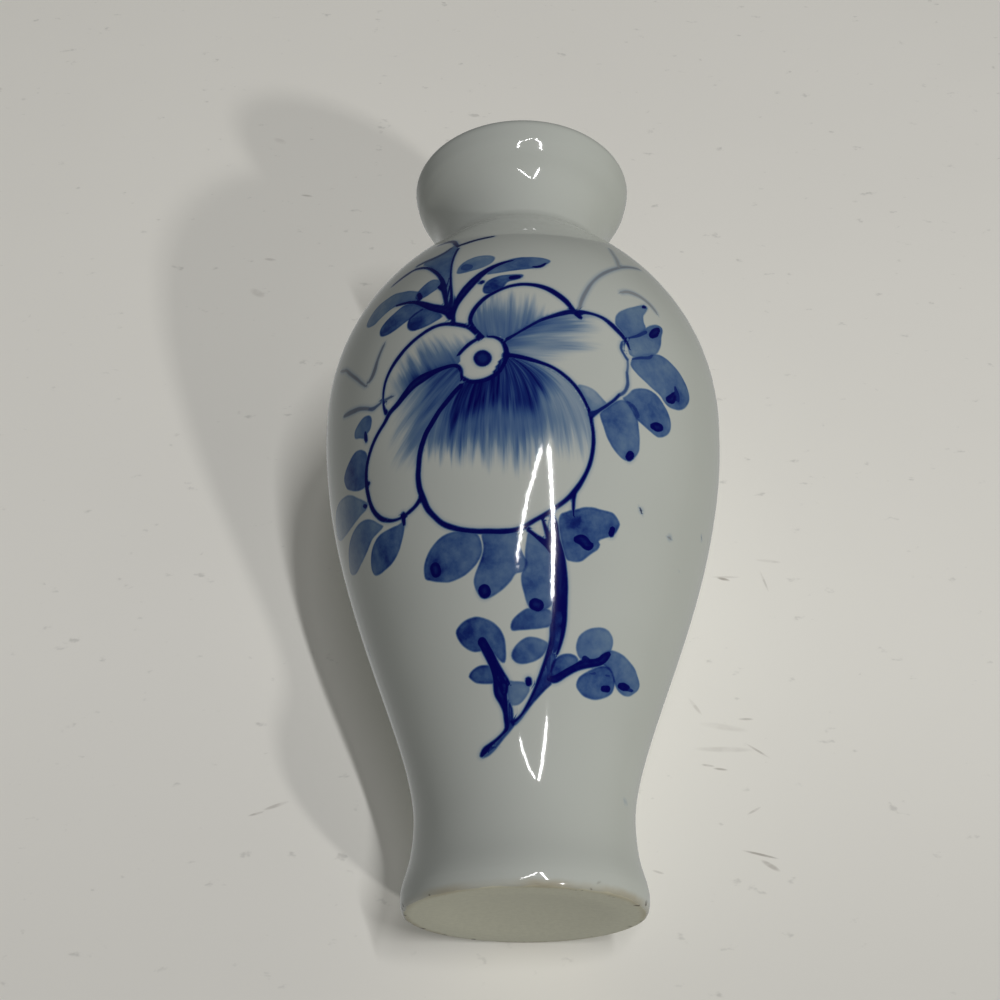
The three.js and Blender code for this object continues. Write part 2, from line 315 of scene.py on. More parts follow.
# Leaf washes: which of two coats, how strong, the angle and run of its darkest place, then its outline.
LEAVES = (
    (0, 0.54, (-2.0, 85.2), (
        (-10.8, 83.6), (-8.7, 85.0), (-5.6, 86.2), (-2.5, 86.9), (1.2, 87.1), (4.8, 87.0), (7.1, 86.5),
        (6.9, 85.9), (5.3, 85.2), (3.8, 84.6), (-0.4, 84.1), (-5.6, 83.7), (-9.8, 83.4),
    )),
    (1, 0.41, (-17.0, 85.8), (
        (-19.9, 84.9), (-19.6, 86.2), (-18.1, 87.4), (-15.0, 88.2), (-11.8, 88.2), (-9.2, 87.6),
        (-9.0, 86.7), (-10.3, 85.7), (-12.9, 85.0), (-16.0, 84.7), (-18.6, 84.6),
    )),
    (1, 0.66, (-9.0, 81.0), (
        (-11.3, 79.7), (-11.6, 80.9), (-10.3, 82.1), (-7.7, 82.8), (-4.6, 83.0), (-0.9, 83.0), (-0.9, 82.4),
        (-2.5, 81.9), (-4.6, 81.6), (-5.6, 80.9), (-6.1, 80.2), (-8.7, 79.5),
    )),
    (0, 0.45, (-35.5, 82.6), (
        (-51.8, 82.9), (-50.4, 84.2), (-48.0, 85.0), (-44.8, 85.3), (-41.6, 85.4), (-38.4, 84.9),
        (-35.2, 84.3), (-32.8, 83.6), (-30.8, 82.9), (-29.8, 81.7), (-32.8, 81.5), (-36.0, 81.9),
        (-38.4, 82.1), (-41.6, 81.9), (-44.8, 81.3), (-47.2, 80.8), (-50.0, 81.1), (-51.6, 81.9),
    )),
    (1, 0.66, (-41.0, 78.4), (
        (-44.0, 78.4), (-43.6, 79.2), (-41.6, 80.1), (-38.8, 80.8), (-36.0, 81.4), (-33.2, 81.2),
        (-30.4, 80.3), (-28.4, 79.4), (-31.0, 78.6), (-34.8, 77.8), (-37.6, 77.3), (-40.8, 77.1),
        (-43.2, 77.5),
    )),
    (0, 0.66, (-31.0, 77.0), (
        (-33.6, 77.2), (-33.2, 78.2), (-31.6, 78.9), (-28.8, 79.3), (-26.4, 78.9), (-24.0, 77.8),
        (-22.6, 76.8), (-24.8, 76.2), (-28.0, 75.8), (-31.2, 75.8), (-33.0, 76.4),
    )),
    (1, 0.54, (-31.0, 82.3), (
        (-32.0, 81.7), (-32.0, 82.9), (-30.4, 84.0), (-28.4, 84.8), (-26.8, 84.8), (-24.6, 84.0),
        (-23.8, 82.9), (-26.4, 82.0), (-29.2, 81.4),
    )),
    # The wash between the two stems that rise to the shoulder.
    (0, 0.50, (-24.0, 88.0), (
        (-20.6, 78.4), (-22.2, 81.2), (-23.4, 83.6), (-25.4, 85.8), (-28.4, 87.7), (-31.6, 89.2),
        (-33.8, 90.4), (-31.0, 91.4), (-27.0, 92.0), (-25.4, 93.0), (-24.0, 94.0), (-22.2, 92.6),
        (-22.2, 90.0), (-22.2, 87.4), (-21.6, 84.4), (-20.8, 81.4),
    )),
    # Right of the flower, from the top down.
    (0, 0.46, (28.0, 76.0), (
        (24.4, 75.9), (24.8, 77.3), (26.4, 78.5), (28.8, 79.5), (31.2, 80.3), (33.6, 81.1), (35.6, 81.5),
        (36.2, 81.2), (35.2, 80.1), (34.0, 79.1), (34.0, 77.9), (34.4, 77.1), (33.2, 76.1), (30.8, 75.2),
        (28.8, 74.3), (27.6, 74.0), (26.0, 75.0),
    )),
    (1, 0.47, (38.5, 76.5), (
        (27.6, 73.8), (29.2, 74.6), (32.0, 75.7), (34.4, 77.1), (36.0, 77.9), (38.4, 78.6), (40.4, 78.7),
        (40.8, 78.1), (40.0, 76.9), (39.6, 75.7), (38.8, 74.4), (37.2, 73.2), (35.2, 72.7), (32.8, 72.0),
        (30.4, 71.4), (28.4, 71.6), (27.8, 72.8),
    )),
    (0, 0.56, (47.0, 68.4), (
        (28.8, 70.4), (30.4, 71.4), (33.2, 72.1), (36.0, 73.0), (39.2, 73.5), (42.4, 73.3), (46.0, 72.6),
        (48.8, 71.6), (50.8, 70.4), (51.2, 69.2), (50.0, 67.9), (48.0, 66.9), (45.2, 66.2), (42.4, 66.0),
        (40.4, 66.4), (38.8, 67.1), (36.0, 67.6), (33.6, 68.2), (31.2, 68.8), (29.2, 69.6),
    )),
    (1, 0.59, (36.0, 64.6), (
        (26.4, 64.5), (28.0, 65.3), (29.6, 66.3), (32.0, 66.9), (35.2, 67.15), (38.0, 66.8), (40.4, 65.9),
        (42.4, 64.9), (43.4, 63.7), (43.2, 62.5), (41.6, 61.5), (38.8, 60.8), (35.6, 61.2), (32.8, 61.8),
        (30.8, 62.3), (28.8, 63.5), (27.2, 64.2),
    )),
    (0, 0.56, (23.0, 60.0), (
        (20.0, 61.7), (21.6, 62.5), (23.6, 63.5), (25.6, 64.2), (27.6, 64.3), (29.6, 63.7), (31.2, 62.5),
        (32.0, 61.0), (32.6, 59.4), (32.8, 57.8), (31.6, 56.8), (29.6, 56.0), (27.2, 56.1), (24.8, 57.0),
        (22.8, 58.2), (21.2, 59.8), (20.2, 60.9),
    )),
    # Left of the flower, from the top down.
    (0, 0.47, (-47.5, 65.0), (
        (-55.1, 64.0), (-54.6, 64.9), (-52.7, 65.5), (-50.5, 65.9), (-48.3, 65.8), (-46.9, 65.3),
        (-46.7, 64.4), (-47.6, 63.5), (-49.1, 63.2), (-50.5, 62.8), (-52.4, 63.2), (-54.2, 63.5),
    )),
    (1, 0.61, (-58.0, 58.6), (
        (-63.9, 59.3), (-63.0, 60.1), (-61.2, 60.7), (-59.0, 61.2), (-56.4, 61.7), (-53.8, 61.7),
        (-51.6, 61.2), (-49.9, 60.2), (-51.0, 58.7), (-52.0, 57.0), (-52.6, 56.0), (-55.7, 56.1),
        (-58.6, 56.6), (-61.2, 57.3), (-63.0, 58.0),
    )),
    (0, 0.39, (-62.0, 54.0), (
        (-81.0, 55.0), (-79.1, 56.2), (-76.2, 57.1), (-72.5, 57.5), (-68.9, 57.5), (-65.2, 57.2),
        (-62.3, 56.8), (-59.7, 56.1), (-57.1, 55.2), (-54.6, 54.3), (-53.3, 53.6), (-54.2, 52.9),
        (-57.1, 52.7), (-60.1, 52.5), (-63.7, 52.3), (-67.8, 52.3), (-71.8, 52.4), (-75.5, 52.8),
        (-78.8, 53.6),
    )),
    (1, 0.48, (-58.0, 49.0), (
        (-74.4, 47.6), (-73.3, 48.8), (-70.7, 50.1), (-67.8, 50.9), (-64.5, 51.5), (-60.8, 51.8),
        (-57.1, 51.8), (-54.2, 51.5), (-51.6, 50.9), (-49.6, 50.1), (-47.6, 49.3), (-50.6, 48.9),
        (-53.4, 48.6), (-55.7, 48.1), (-58.6, 47.4), (-61.5, 46.9), (-65.2, 46.5), (-68.9, 46.3),
        (-72.2, 46.7),
    )),
    (0, 0.63, (-50.0, 46.0), (
        (-57.9, 44.7), (-57.5, 45.8), (-56.0, 46.9), (-53.8, 47.8), (-50.9, 48.4), (-47.6, 48.6),
        (-44.3, 48.6), (-41.4, 48.6), (-38.9, 48.8), (-39.6, 47.4), (-41.7, 46.0), (-43.9, 44.9),
        (-46.9, 44.1), (-50.5, 43.7), (-54.5, 43.6), (-57.0, 43.9),
    )),
    # Below the flower.
    (0, 0.66, (-30.0, 41.4), (
        (-34.8, 40.5), (-34.5, 41.8), (-32.9, 43.1), (-30.2, 44.3), (-26.3, 45.3), (-22.0, 45.6),
        (-18.1, 45.5), (-15.4, 45.0), (-14.0, 43.8), (-14.0, 42.3), (-15.9, 41.0), (-18.7, 40.1),
        (-22.0, 39.5), (-25.8, 39.2), (-29.6, 39.5), (-32.9, 40.0),
    )),
    (1, 0.60, (-13.5, 41.5), (
        (-13.6, 44.8), (-10.5, 44.8), (-7.2, 44.8), (-3.0, 44.7), (-2.3, 43.2), (-1.0, 41.8), (0.5, 40.7),
        (-0.6, 39.7), (-3.4, 39.4), (-5.0, 38.5), (-7.2, 37.7), (-9.9, 37.0), (-13.2, 36.5), (-15.9, 36.9),
        (-17.3, 38.1), (-17.3, 39.2), (-15.9, 40.5), (-14.3, 41.8), (-13.4, 43.1),
    )),
    (0, 0.57, (2.0, 38.5), (
        (0.7, 44.8), (3.4, 43.9), (6.2, 42.9), (8.3, 41.4), (8.9, 39.9), (9.0, 38.3), (9.2, 36.8),
        (9.0, 35.7), (7.0, 35.0), (3.7, 34.7), (1.0, 35.1), (-0.6, 36.4), (-1.5, 37.9), (-1.7, 39.2),
        (-0.6, 40.5), (-0.4, 42.6),
    )),
    (1, 0.59, (-3.0, 33.2), (
        (-5.6, 32.6), (-5.0, 33.5), (-2.3, 34.4), (0.5, 35.0), (3.7, 34.8), (7.0, 35.0), (9.0, 34.4),
        (8.9, 33.0), (5.4, 32.5), (1.6, 32.3), (-2.3, 32.25), (-4.9, 32.2),
    )),
    (0, 0.67, (15.5, 46.6), (
        (10.2, 47.3), (11.6, 47.6), (13.0, 47.9), (14.8, 48.1), (17.1, 48.5), (19.8, 48.7), (22.1, 48.6),
        (24.4, 48.6), (26.2, 48.5), (27.8, 48.0), (29.0, 47.3), (28.7, 46.7), (27.8, 45.8), (26.2, 45.3),
        (24.4, 44.9), (22.6, 44.5), (23.3, 44.0), (22.6, 43.3), (21.2, 42.8), (19.8, 42.3), (18.0, 41.6),
        (16.2, 41.3), (14.1, 41.3), (12.7, 41.5), (11.6, 42.4), (10.5, 43.8), (9.8, 45.2), (9.6, 46.4),
    )),
    # Among the lower branches.
    (0, 0.71, (-24.5, 32.3), (
        (-26.3, 32.6), (-25.2, 33.3), (-22.0, 34.0), (-18.1, 34.3), (-14.9, 34.0), (-11.6, 33.3),
        (-8.8, 32.0), (-7.7, 30.4), (-8.3, 28.3), (-10.5, 28.6), (-13.0, 29.6), (-15.4, 30.0),
        (-17.4, 29.9), (-20.4, 30.0), (-23.6, 30.7), (-25.5, 31.6),
    )),
    (1, 0.68, (-21.5, 27.0), (
        (-23.6, 27.0), (-22.0, 27.6), (-18.7, 28.1), (-15.4, 28.1), (-13.2, 27.8), (-12.2, 26.6),
        (-12.2, 25.8), (-16.5, 25.8), (-20.3, 26.0), (-22.6, 26.5),
    )),
    (0, 0.58, (-3.2, 29.2), (
        (-5.6, 28.9), (-5.0, 29.8), (-2.8, 30.7), (0.5, 31.4), (4.3, 31.3), (8.2, 30.7), (7.6, 29.8),
        (5.8, 28.9), (2.6, 28.3), (-1.2, 28.0), (-3.9, 28.2),
    )),
    (1, 0.43, (-6.0, 24.8), (
        (-8.3, 25.8), (-5.0, 25.9), (-0.6, 25.7), (1.4, 24.9), (-0.6, 23.7), (-3.6, 22.9), (-7.2, 23.2),
    )),
    (0, 0.48, (21.5, 31.0), (
        (18.8, 30.9), (19.6, 32.0), (22.3, 32.9), (26.7, 33.5), (30.5, 33.4), (33.3, 32.6), (34.0, 31.4),
        (32.7, 30.4), (29.4, 29.5), (25.6, 29.1), (21.2, 29.2), (19.3, 30.0),
    )),
    (1, 0.64, (11.0, 27.6), (
        (10.8, 28.7), (13.6, 29.4), (16.9, 29.6), (19.6, 29.3), (20.3, 28.5), (16.9, 27.5), (12.5, 26.5),
        (10.0, 26.4), (9.4, 27.8),
    )),
    (0, 0.61, (28.5, 27.2), (
        (20.7, 25.9), (21.8, 26.9), (25.1, 27.8), (28.9, 28.6), (32.7, 28.9), (36.5, 28.4), (38.6, 27.2),
        (38.2, 25.9), (36.0, 25.2), (32.7, 24.7), (28.9, 24.4), (24.5, 24.6), (21.8, 25.2),
    )),
    (1, 0.52, (36.0, 28.6), (
        (28.8, 29.2), (30.3, 30.5), (32.7, 31.0), (35.6, 31.1), (38.5, 31.0), (41.5, 30.7), (44.4, 30.3),
        (47.3, 29.8), (49.7, 29.2), (51.7, 28.6), (53.0, 28.0), (52.6, 27.4), (50.6, 26.8), (48.2, 26.2),
        (45.3, 26.0), (42.6, 26.1), (40.0, 26.5), (37.8, 27.2), (35.0, 28.4), (31.6, 28.9),
    )),
    # Along the main stem: its lighter middle, and the wash at its lower right side.
    (0, 0.86, (11.4, 35.0), (
        (9.6, 42.0), (11.6, 40.4), (12.7, 38.0), (13.4, 35.0), (13.2, 32.0), (12.0, 30.0), (10.0, 29.6),
        (9.4, 32.0), (9.6, 35.0), (9.4, 38.0), (9.0, 40.4),
    )),
    (0, 0.72, (4.0, 25.0), (
        (8.2, 29.4), (11.2, 29.4), (11.2, 28.2), (9.6, 26.8), (10.6, 25.8), (7.0, 24.6), (3.6, 23.4),
        (0.0, 22.0), (-2.8, 20.9), (-5.6, 20.3), (-6.6, 20.9), (-3.4, 21.4), (0.4, 22.9), (3.6, 24.8),
        (5.8, 26.8), (7.2, 28.4),
    )),
    (0, 0.90, (-10.5, 27.0), (
        (-15.8, 30.8), (-13.8, 29.6), (-11.2, 28.0), (-8.8, 26.4), (-7.2, 25.4), (-8.4, 24.0),
        (-10.4, 24.2), (-11.8, 25.6), (-13.0, 27.2), (-14.2, 28.8),
    )),
    (1, 0.66, (-8.4, 21.6), (
        (-9.0, 23.4), (-7.0, 23.4), (-6.2, 22.0), (-5.0, 20.6), (-7.6, 19.6), (-11.0, 18.6), (-14.4, 17.6),
        (-18.4, 16.8), (-21.6, 16.7), (-19.0, 17.6), (-14.6, 18.6), (-10.6, 19.5), (-8.7, 20.4),
        (-8.9, 22.0),
    )),
    # The grey corner of the right petal.
    (1, 0.30, (17.2, 62.6), (
        (13.4, 65.0), (15.6, 65.2), (18.2, 64.8), (20.4, 63.9), (22.0, 63.0), (19.6, 62.0), (17.6, 61.5),
        (16.2, 62.6),
    )),
    # The sprig behind, which the painted side leaves out of sight.
    (0, 0.56, (178.0, 66.0), (
        (171.5, 63.0), (172.5, 65.4), (176.0, 67.0), (180.5, 67.4), (184.0, 66.2), (181.5, 64.2),
        (177.5, 62.8), (173.5, 62.4),
    )),
    (1, 0.54, (186.0, 60.0), (
        (180.6, 58.0), (183.0, 60.6), (187.0, 62.2), (191.5, 62.4), (193.5, 61.0), (190.0, 58.8),
        (185.6, 57.4),
    )),
    (1, 0.56, (173.0, 56.5), (
        (166.5, 57.8), (168.0, 59.2), (172.5, 59.0), (177.0, 57.2), (179.4, 55.2), (175.0, 54.6),
        (170.0, 55.6),
    )),
    (0, 0.58, (186.0, 51.5), (
        (180.4, 50.2), (183.0, 52.6), (187.0, 53.8), (190.5, 53.4), (190.0, 51.6), (186.4, 49.8),
        (182.6, 49.2),
    )),
)

# Lines of the sprig behind, in the same form as LINES.
SPRIG_LINES = (
    (1.0, 0.0, (
        (184.0, 44.0, 0.8), (181.6, 48.0, 1.1), (180.2, 53.0, 1.2), (179.4, 58.0, 1.1), (177.6, 63.0, 0.9),
    )),
    (1.0, 0.0, ((180.4, 55.0, 0.9), (183.6, 57.6, 1.0), (187.0, 59.6, 0.8))),
)

# Petals: where the strokes of the shading start, their heading in degrees from up towards +X, how far the
# fan opens and over what length, the petal's outline, then for places across the fan: the lengths at which
# the dark root ends, the middle tone starts to fade and the last strokes end, and the two tones.
PETALS = (
    ((-6.5, 69.5), 180.0, 12.5, 4.0, (
        (-17.3, 65.3), (-21.4, 63.4), (-25.9, 60.9), (-29.6, 58.2), (-31.4, 55.3), (-31.9, 52.4),
        (-30.1, 49.4), (-25.9, 47.0), (-19.4, 45.6), (-11.2, 45.0), (-3.8, 44.95), (2.2, 46.2), (8.7, 48.1),
        (14.4, 50.8), (17.4, 53.7), (18.5, 57.0), (17.7, 60.1), (16.1, 62.5), (12.6, 65.1), (7.0, 67.3),
        (-0.4, 68.6), (-5.6, 68.6), (-8.4, 66.2), (-12.5, 65.4), (-15.6, 65.6),
    ), (
        (-1.31, 3.0, 7.0, 10.0, 0.38, 0.28), (-1.04, 5.0, 10.0, 13.0, 0.50, 0.38),
        (-0.85, 6.0, 11.0, 13.6, 0.54, 0.46), (-0.72, 7.5, 11.4, 14.0, 0.66, 0.56),
        (-0.61, 11.4, 12.2, 14.0, 0.90, 0.62), (-0.53, 9.6, 11.8, 15.0, 0.92, 0.63),
        (-0.35, 8.6, 11.6, 15.2, 0.93, 0.64), (-0.22, 8.2, 11.6, 15.6, 0.91, 0.64),
        (-0.08, 7.8, 11.4, 16.4, 0.88, 0.63), (0.06, 8.4, 11.6, 17.2, 0.86, 0.60),
        (0.19, 9.2, 12.0, 17.4, 0.86, 0.58), (0.33, 9.3, 11.8, 16.0, 0.85, 0.58),
        (0.42, 8.0, 11.2, 14.4, 0.85, 0.58), (0.51, 6.8, 10.4, 14.0, 0.86, 0.50),
        (0.60, 6.2, 10.4, 14.2, 0.85, 0.42), (0.69, 5.4, 10.6, 14.4, 0.82, 0.36),
        (0.78, 4.6, 10.6, 14.6, 0.74, 0.34), (0.92, 3.4, 10.2, 14.2, 0.54, 0.31),
        (1.15, 2.0, 9.0, 12.6, 0.36, 0.25), (1.51, 1.0, 5.0, 9.0, 0.20, 0.10),
    )),
    ((-10.1, 71.0), 225.0, 8.0, 6.0, (
        (-17.3, 65.8), (-18.0, 67.8), (-22.5, 68.2), (-28.5, 67.2), (-33.7, 66.0), (-39.5, 64.2),
        (-44.3, 62.2), (-48.3, 60.2), (-50.9, 58.2), (-52.0, 55.0), (-51.1, 52.5), (-48.0, 50.5),
        (-43.6, 49.5), (-36.6, 49.8), (-31.8, 51.5), (-31.9, 53.9), (-30.7, 56.8), (-27.9, 59.7),
        (-23.8, 62.2), (-19.0, 64.6),
    ), (
        (-0.90, 5.0, 8.0, 12.0, 0.47, 0.26), (-0.60, 8.4, 10.5, 16.6, 0.61, 0.31),
        (-0.40, 10.0, 12.5, 18.6, 0.69, 0.42), (-0.20, 12.0, 14.0, 19.2, 0.71, 0.49),
        (-0.08, 14.0, 15.2, 19.8, 0.73, 0.49), (0.08, 12.0, 16.5, 20.6, 0.65, 0.46),
        (0.25, 10.0, 16.0, 20.0, 0.52, 0.38), (0.50, 9.0, 14.0, 18.0, 0.46, 0.32),
    )),
    ((-24.0, 63.5), 335.0, 9.0, 0.1, (
        (-12.6, 72.0), (-15.0, 73.8), (-19.6, 74.9), (-24.4, 75.2), (-29.2, 74.4), (-34.0, 73.0),
        (-38.4, 71.0), (-41.0, 68.9), (-41.6, 66.6), (-39.0, 64.8), (-33.7, 66.6), (-28.5, 68.2),
        (-22.5, 68.8), (-18.6, 68.9), (-17.8, 70.2), (-15.2, 71.4),
    ), (
        (-0.90, 3.5, 5.0, 6.5, 0.35, 0.20), (-0.62, 4.4, 5.8, 8.2, 0.62, 0.42),
        (-0.40, 5.5, 6.8, 9.5, 0.74, 0.44), (-0.20, 6.1, 7.5, 10.1, 0.82, 0.46),
        (0.00, 6.5, 7.7, 10.3, 0.86, 0.46), (0.15, 6.9, 7.9, 10.3, 0.84, 0.42),
        (0.28, 7.1, 8.0, 10.0, 0.72, 0.36), (0.38, 7.1, 8.0, 9.4, 0.42, 0.26),
        (0.50, 7.0, 7.6, 8.6, 0.15, 0.10), (0.70, 5.0, 6.0, 7.0, 0.0, 0.0),
    )),
    ((-6.0, 66.0), 0.0, 9.0, 6.0, (
        (-11.3, 72.4), (-13.6, 73.9), (-14.6, 75.1), (-14.1, 76.4), (-12.9, 77.5), (-10.8, 78.7),
        (-8.2, 79.6), (-5.1, 80.3), (-1.4, 80.8), (2.2, 80.7), (5.3, 80.1), (7.9, 79.2), (10.3, 78.1),
        (11.8, 76.8), (7.4, 75.6), (3.8, 74.7), (0.6, 73.6), (-2.5, 72.5), (-4.9, 71.8), (-7.0, 72.2),
        (-9.4, 72.4),
    ), (
        (-0.85, 8.4, 9.0, 10.0, 0.18, 0.10), (-0.65, 8.9, 9.6, 11.8, 0.42, 0.26),
        (-0.45, 9.4, 10.2, 13.0, 0.54, 0.36), (-0.20, 9.6, 10.6, 13.4, 0.53, 0.34),
        (0.00, 9.8, 10.8, 13.8, 0.52, 0.35), (0.15, 9.8, 10.8, 13.8, 0.50, 0.35),
        (0.35, 9.8, 11.0, 13.2, 0.52, 0.42), (0.55, 9.6, 10.6, 12.6, 0.54, 0.44),
        (0.75, 9.0, 9.6, 11.4, 0.48, 0.38),
    )),
    ((-16.0, 70.5), 82.0, 7.5, 9.0, (
        (-4.6, 71.4), (-2.5, 72.3), (0.6, 73.4), (3.8, 74.5), (7.4, 75.4), (11.6, 76.2), (17.8, 76.6),
        (20.9, 76.2), (23.5, 75.4), (26.1, 74.3), (27.7, 72.0), (27.9, 69.5), (27.7, 67.0), (25.6, 65.0),
        (22.0, 63.1), (18.4, 61.7), (16.4, 62.6), (12.6, 65.3), (7.0, 67.5), (-0.4, 68.9), (-4.2, 69.2),
        (-5.0, 70.4),
    ), (
        (-0.80, 7.0, 8.0, 11.0, 0.18, 0.13), (-0.50, 7.5, 10.0, 15.0, 0.36, 0.25),
        (-0.35, 8.0, 12.5, 17.0, 0.44, 0.33), (-0.20, 8.0, 14.5, 18.8, 0.50, 0.35),
        (-0.05, 8.5, 11.0, 17.4, 0.58, 0.37), (0.10, 9.0, 12.0, 18.0, 0.63, 0.41),
        (0.25, 10.5, 14.0, 19.4, 0.65, 0.47), (0.40, 12.0, 14.5, 19.6, 0.65, 0.51),
        (0.60, 11.0, 13.0, 18.6, 0.61, 0.49), (0.80, 9.0, 11.0, 15.0, 0.53, 0.38),
    )),
)


# The camera: lens and sensor width in millimetres, pitch and roll in degrees, and its place.
LENS = 51.98
SENSOR = 36.0
PITCH = 28.9
ROLL = -0.234
CAMERA_PLACE = (-3.4, -187.1, -42.55)

# The stage: the board leans back by an angle and touches the vase's foot and belly from behind. It passes
# the belly's level at this distance from the axis.
BOARD_LEAN = 10.8
BOARD_DISTANCE = 29.8
FLOOR_LEVEL = 0.3
STAGE_HALF = 900.0

# The vase's middle, which the lights face, in metres.
MIDDLE = Vector((0, 0, 0.06))

# The lamp is two strips that nearly meet at the top. Each has its top and its foot as an angle, a rise and a
# distance, then its power.
LAMPS = (
    ((9.2, 5.0, 1.8), (-5.0, -12.0, 1.8), 4.1),
    ((13.2, 5.4, 1.8), (19.4, -15.0, 1.8), 10.9),
)
LAMP_WIDTH = 0.038

# Light of the room from everywhere, from the right, from below and from the board on the left, then what the
# glaze reflects of the room and of the table, and what the camera sees behind.
ROOM_LIGHT = (0.013, 0.013, 0.013)
ROOM_RIGHT = (0.55, 0.544, 0.477)
ROOM_BELOW = (0.04, 0.04, 0.035)
ROOM_LEFT = (0.56, 0.555, 0.53)
ROOM_REFLECTED = (0.04, 0.042, 0.042)
TABLE_REFLECTED = (0.34, 0.345, 0.335)
BACKDROP = (0.58, 0.57, 0.54)

# Marks on the board: place across and up, angle in degrees, half length, half width and strength.
MARKS = (
    (33.5, 61.3, -15, 1.1, 0.3, 0.45), (34.0, 61.7, 0, 2.4, 0.2, 0.16), (41.3, 65.0, -7, 2.1, 0.3, 0.18),
    (40.2, 60.9, -77, 2.1, 0.2, 0.2), (30.9, 33.7, -9, 3.6, 0.6, 0.1), (30.5, 29.9, -1, 4.3, 0.5, 0.14),
    (35.6, 29.7, -36, 2.1, 0.2, 0.28), (27.9, 27.2, -8, 1.0, 0.2, 0.3), (29.7, 26.6, -7, 1.1, 0.2, 0.35),
    (26.8, 37.3, -59, 1.7, 0.3, 0.18), (34.4, 35.1, 0, 1.2, 0.2, 0.28), (34.1, 13.1, -14, 2.6, 0.2, 0.42),
    (35.4, 11.4, -33, 1.5, 0.4, 0.3), (34.0, 19.9, 30, 1.2, 0.2, 0.28), (-36.0, 20.4, 21, 2.0, 0.3, 0.26),
    (-38.8, 19.1, 17, 1.2, 0.2, 0.3), (-44.0, 158.7, -10, 1.3, 0.3, 0.28),
    (-51.0, 129.2, -36, 1.8, 0.9, 0.14), (-49.5, 138.9, -9, 1.3, 0.4, 0.2),
    (-51.4, 177.0, -33, 1.7, 0.8, 0.1), (19.3, 10.4, -17, 0.9, 0.2, 0.25),
)

# Settings that a user may change.


class BUDVASE_PG_sizes(bpy.types.PropertyGroup):
    height: bpy.props.FloatProperty(
        name="Height", description="Foot to lip",
        default=CAD_BOX[1][2], unit="LENGTH", subtype="DISTANCE",
    )
    belly: bpy.props.FloatProperty(
        name="Belly radius", description="Widest radius of the body",
        default=CAD_BOX[1][0], unit="LENGTH", subtype="DISTANCE",
    )
    wall: bpy.props.FloatProperty(
        name="Wall", description="Thickness of the porcelain",
        default=0.0032, unit="LENGTH", subtype="DISTANCE",
    )


class BUDVASE_PG_colours(bpy.types.PropertyGroup):
    glaze: bpy.props.FloatVectorProperty(
        name="Glaze", description="Porcelain seen through the clear glaze",
        default=(0.472, 0.492, 0.461), size=3, subtype="COLOR",
    )
    cobalt: bpy.props.FloatVectorProperty(
        name="Cobalt", description="Thickest cobalt",
        default=(0.0005, 0.001, 0.19), size=3, subtype="COLOR",
    )
    bisque: bpy.props.FloatVectorProperty(
        name="Bare clay", description="Unglazed foot",
        default=(0.6, 0.595, 0.48), size=3, subtype="COLOR",
    )
    table: bpy.props.FloatVectorProperty(
        name="Table", description="Board and floor",
        default=(0.925, 0.905, 0.85), size=3, subtype="COLOR",
    )


# Curves in the plane.


def bezier(a, b, c, d, count):
    """Points of a cubic Bezier from a to d with handles b and c, and the unit directions along it."""
    a, b, c, d = (np.array(p, float) for p in (a, b, c, d))
    t = np.linspace(0, 1, count)[:, None]
    points = (1 - t) ** 3 * a + 3 * (1 - t) ** 2 * t * b + 3 * (1 - t) * t**2 * c + t**3 * d
    along = (1 - t) ** 2 * (b - a) + 2 * (1 - t) * t * (c - b) + t**2 * (d - c)
    return points, along / np.linalg.norm(along, axis=1, keepdims=True)


def smooth_path(points, closed=False, steps=4):
    """Catmull-Rom curve through the points: the slope at each is half the gap between its neighbours."""
    p = np.array(points, float)
    if closed:
        before, here, after, later = np.roll(p, 1, 0), p, np.roll(p, -1, 0), np.roll(p, -2, 0)
    else:
        ends = np.vstack([2 * p[0] - p[1], p, 2 * p[-1] - p[-2]])
        before, here, after, later = ends[:-3], ends[1:-2], ends[2:-1], ends[3:]
    t = np.arange(steps)[None, :, None] / steps
    before, here, after, later = (q[:, None, :] for q in (before, here, after, later))
    curve = 0.5 * (
        2 * here + (after - before) * t + (2 * before - 5 * here + 4 * after - later) * t**2
        + (3 * here - before - 3 * after + later) * t**3
    )
    curve = curve.reshape(-1, p.shape[1])
    return curve if closed else np.vstack([curve, p[-1]])


# The wall's profile.


def spaced(points, spans):
    """Points along a curve at even runs, each span from its own run to the next one's with its own count."""
    run = np.r_[0, np.cumsum(np.hypot(*np.diff(points, axis=0).T))]
    ends = [start for start, _ in spans[1:]] + [run[-1]]
    at = [np.linspace(start, end, count, endpoint=False) for (start, count), end in zip(spans, ends)]
    at = np.append(np.concatenate(at), run[-1])
    return np.column_stack([np.interp(at, run, points[:, 0]), np.interp(at, run, points[:, 1])])


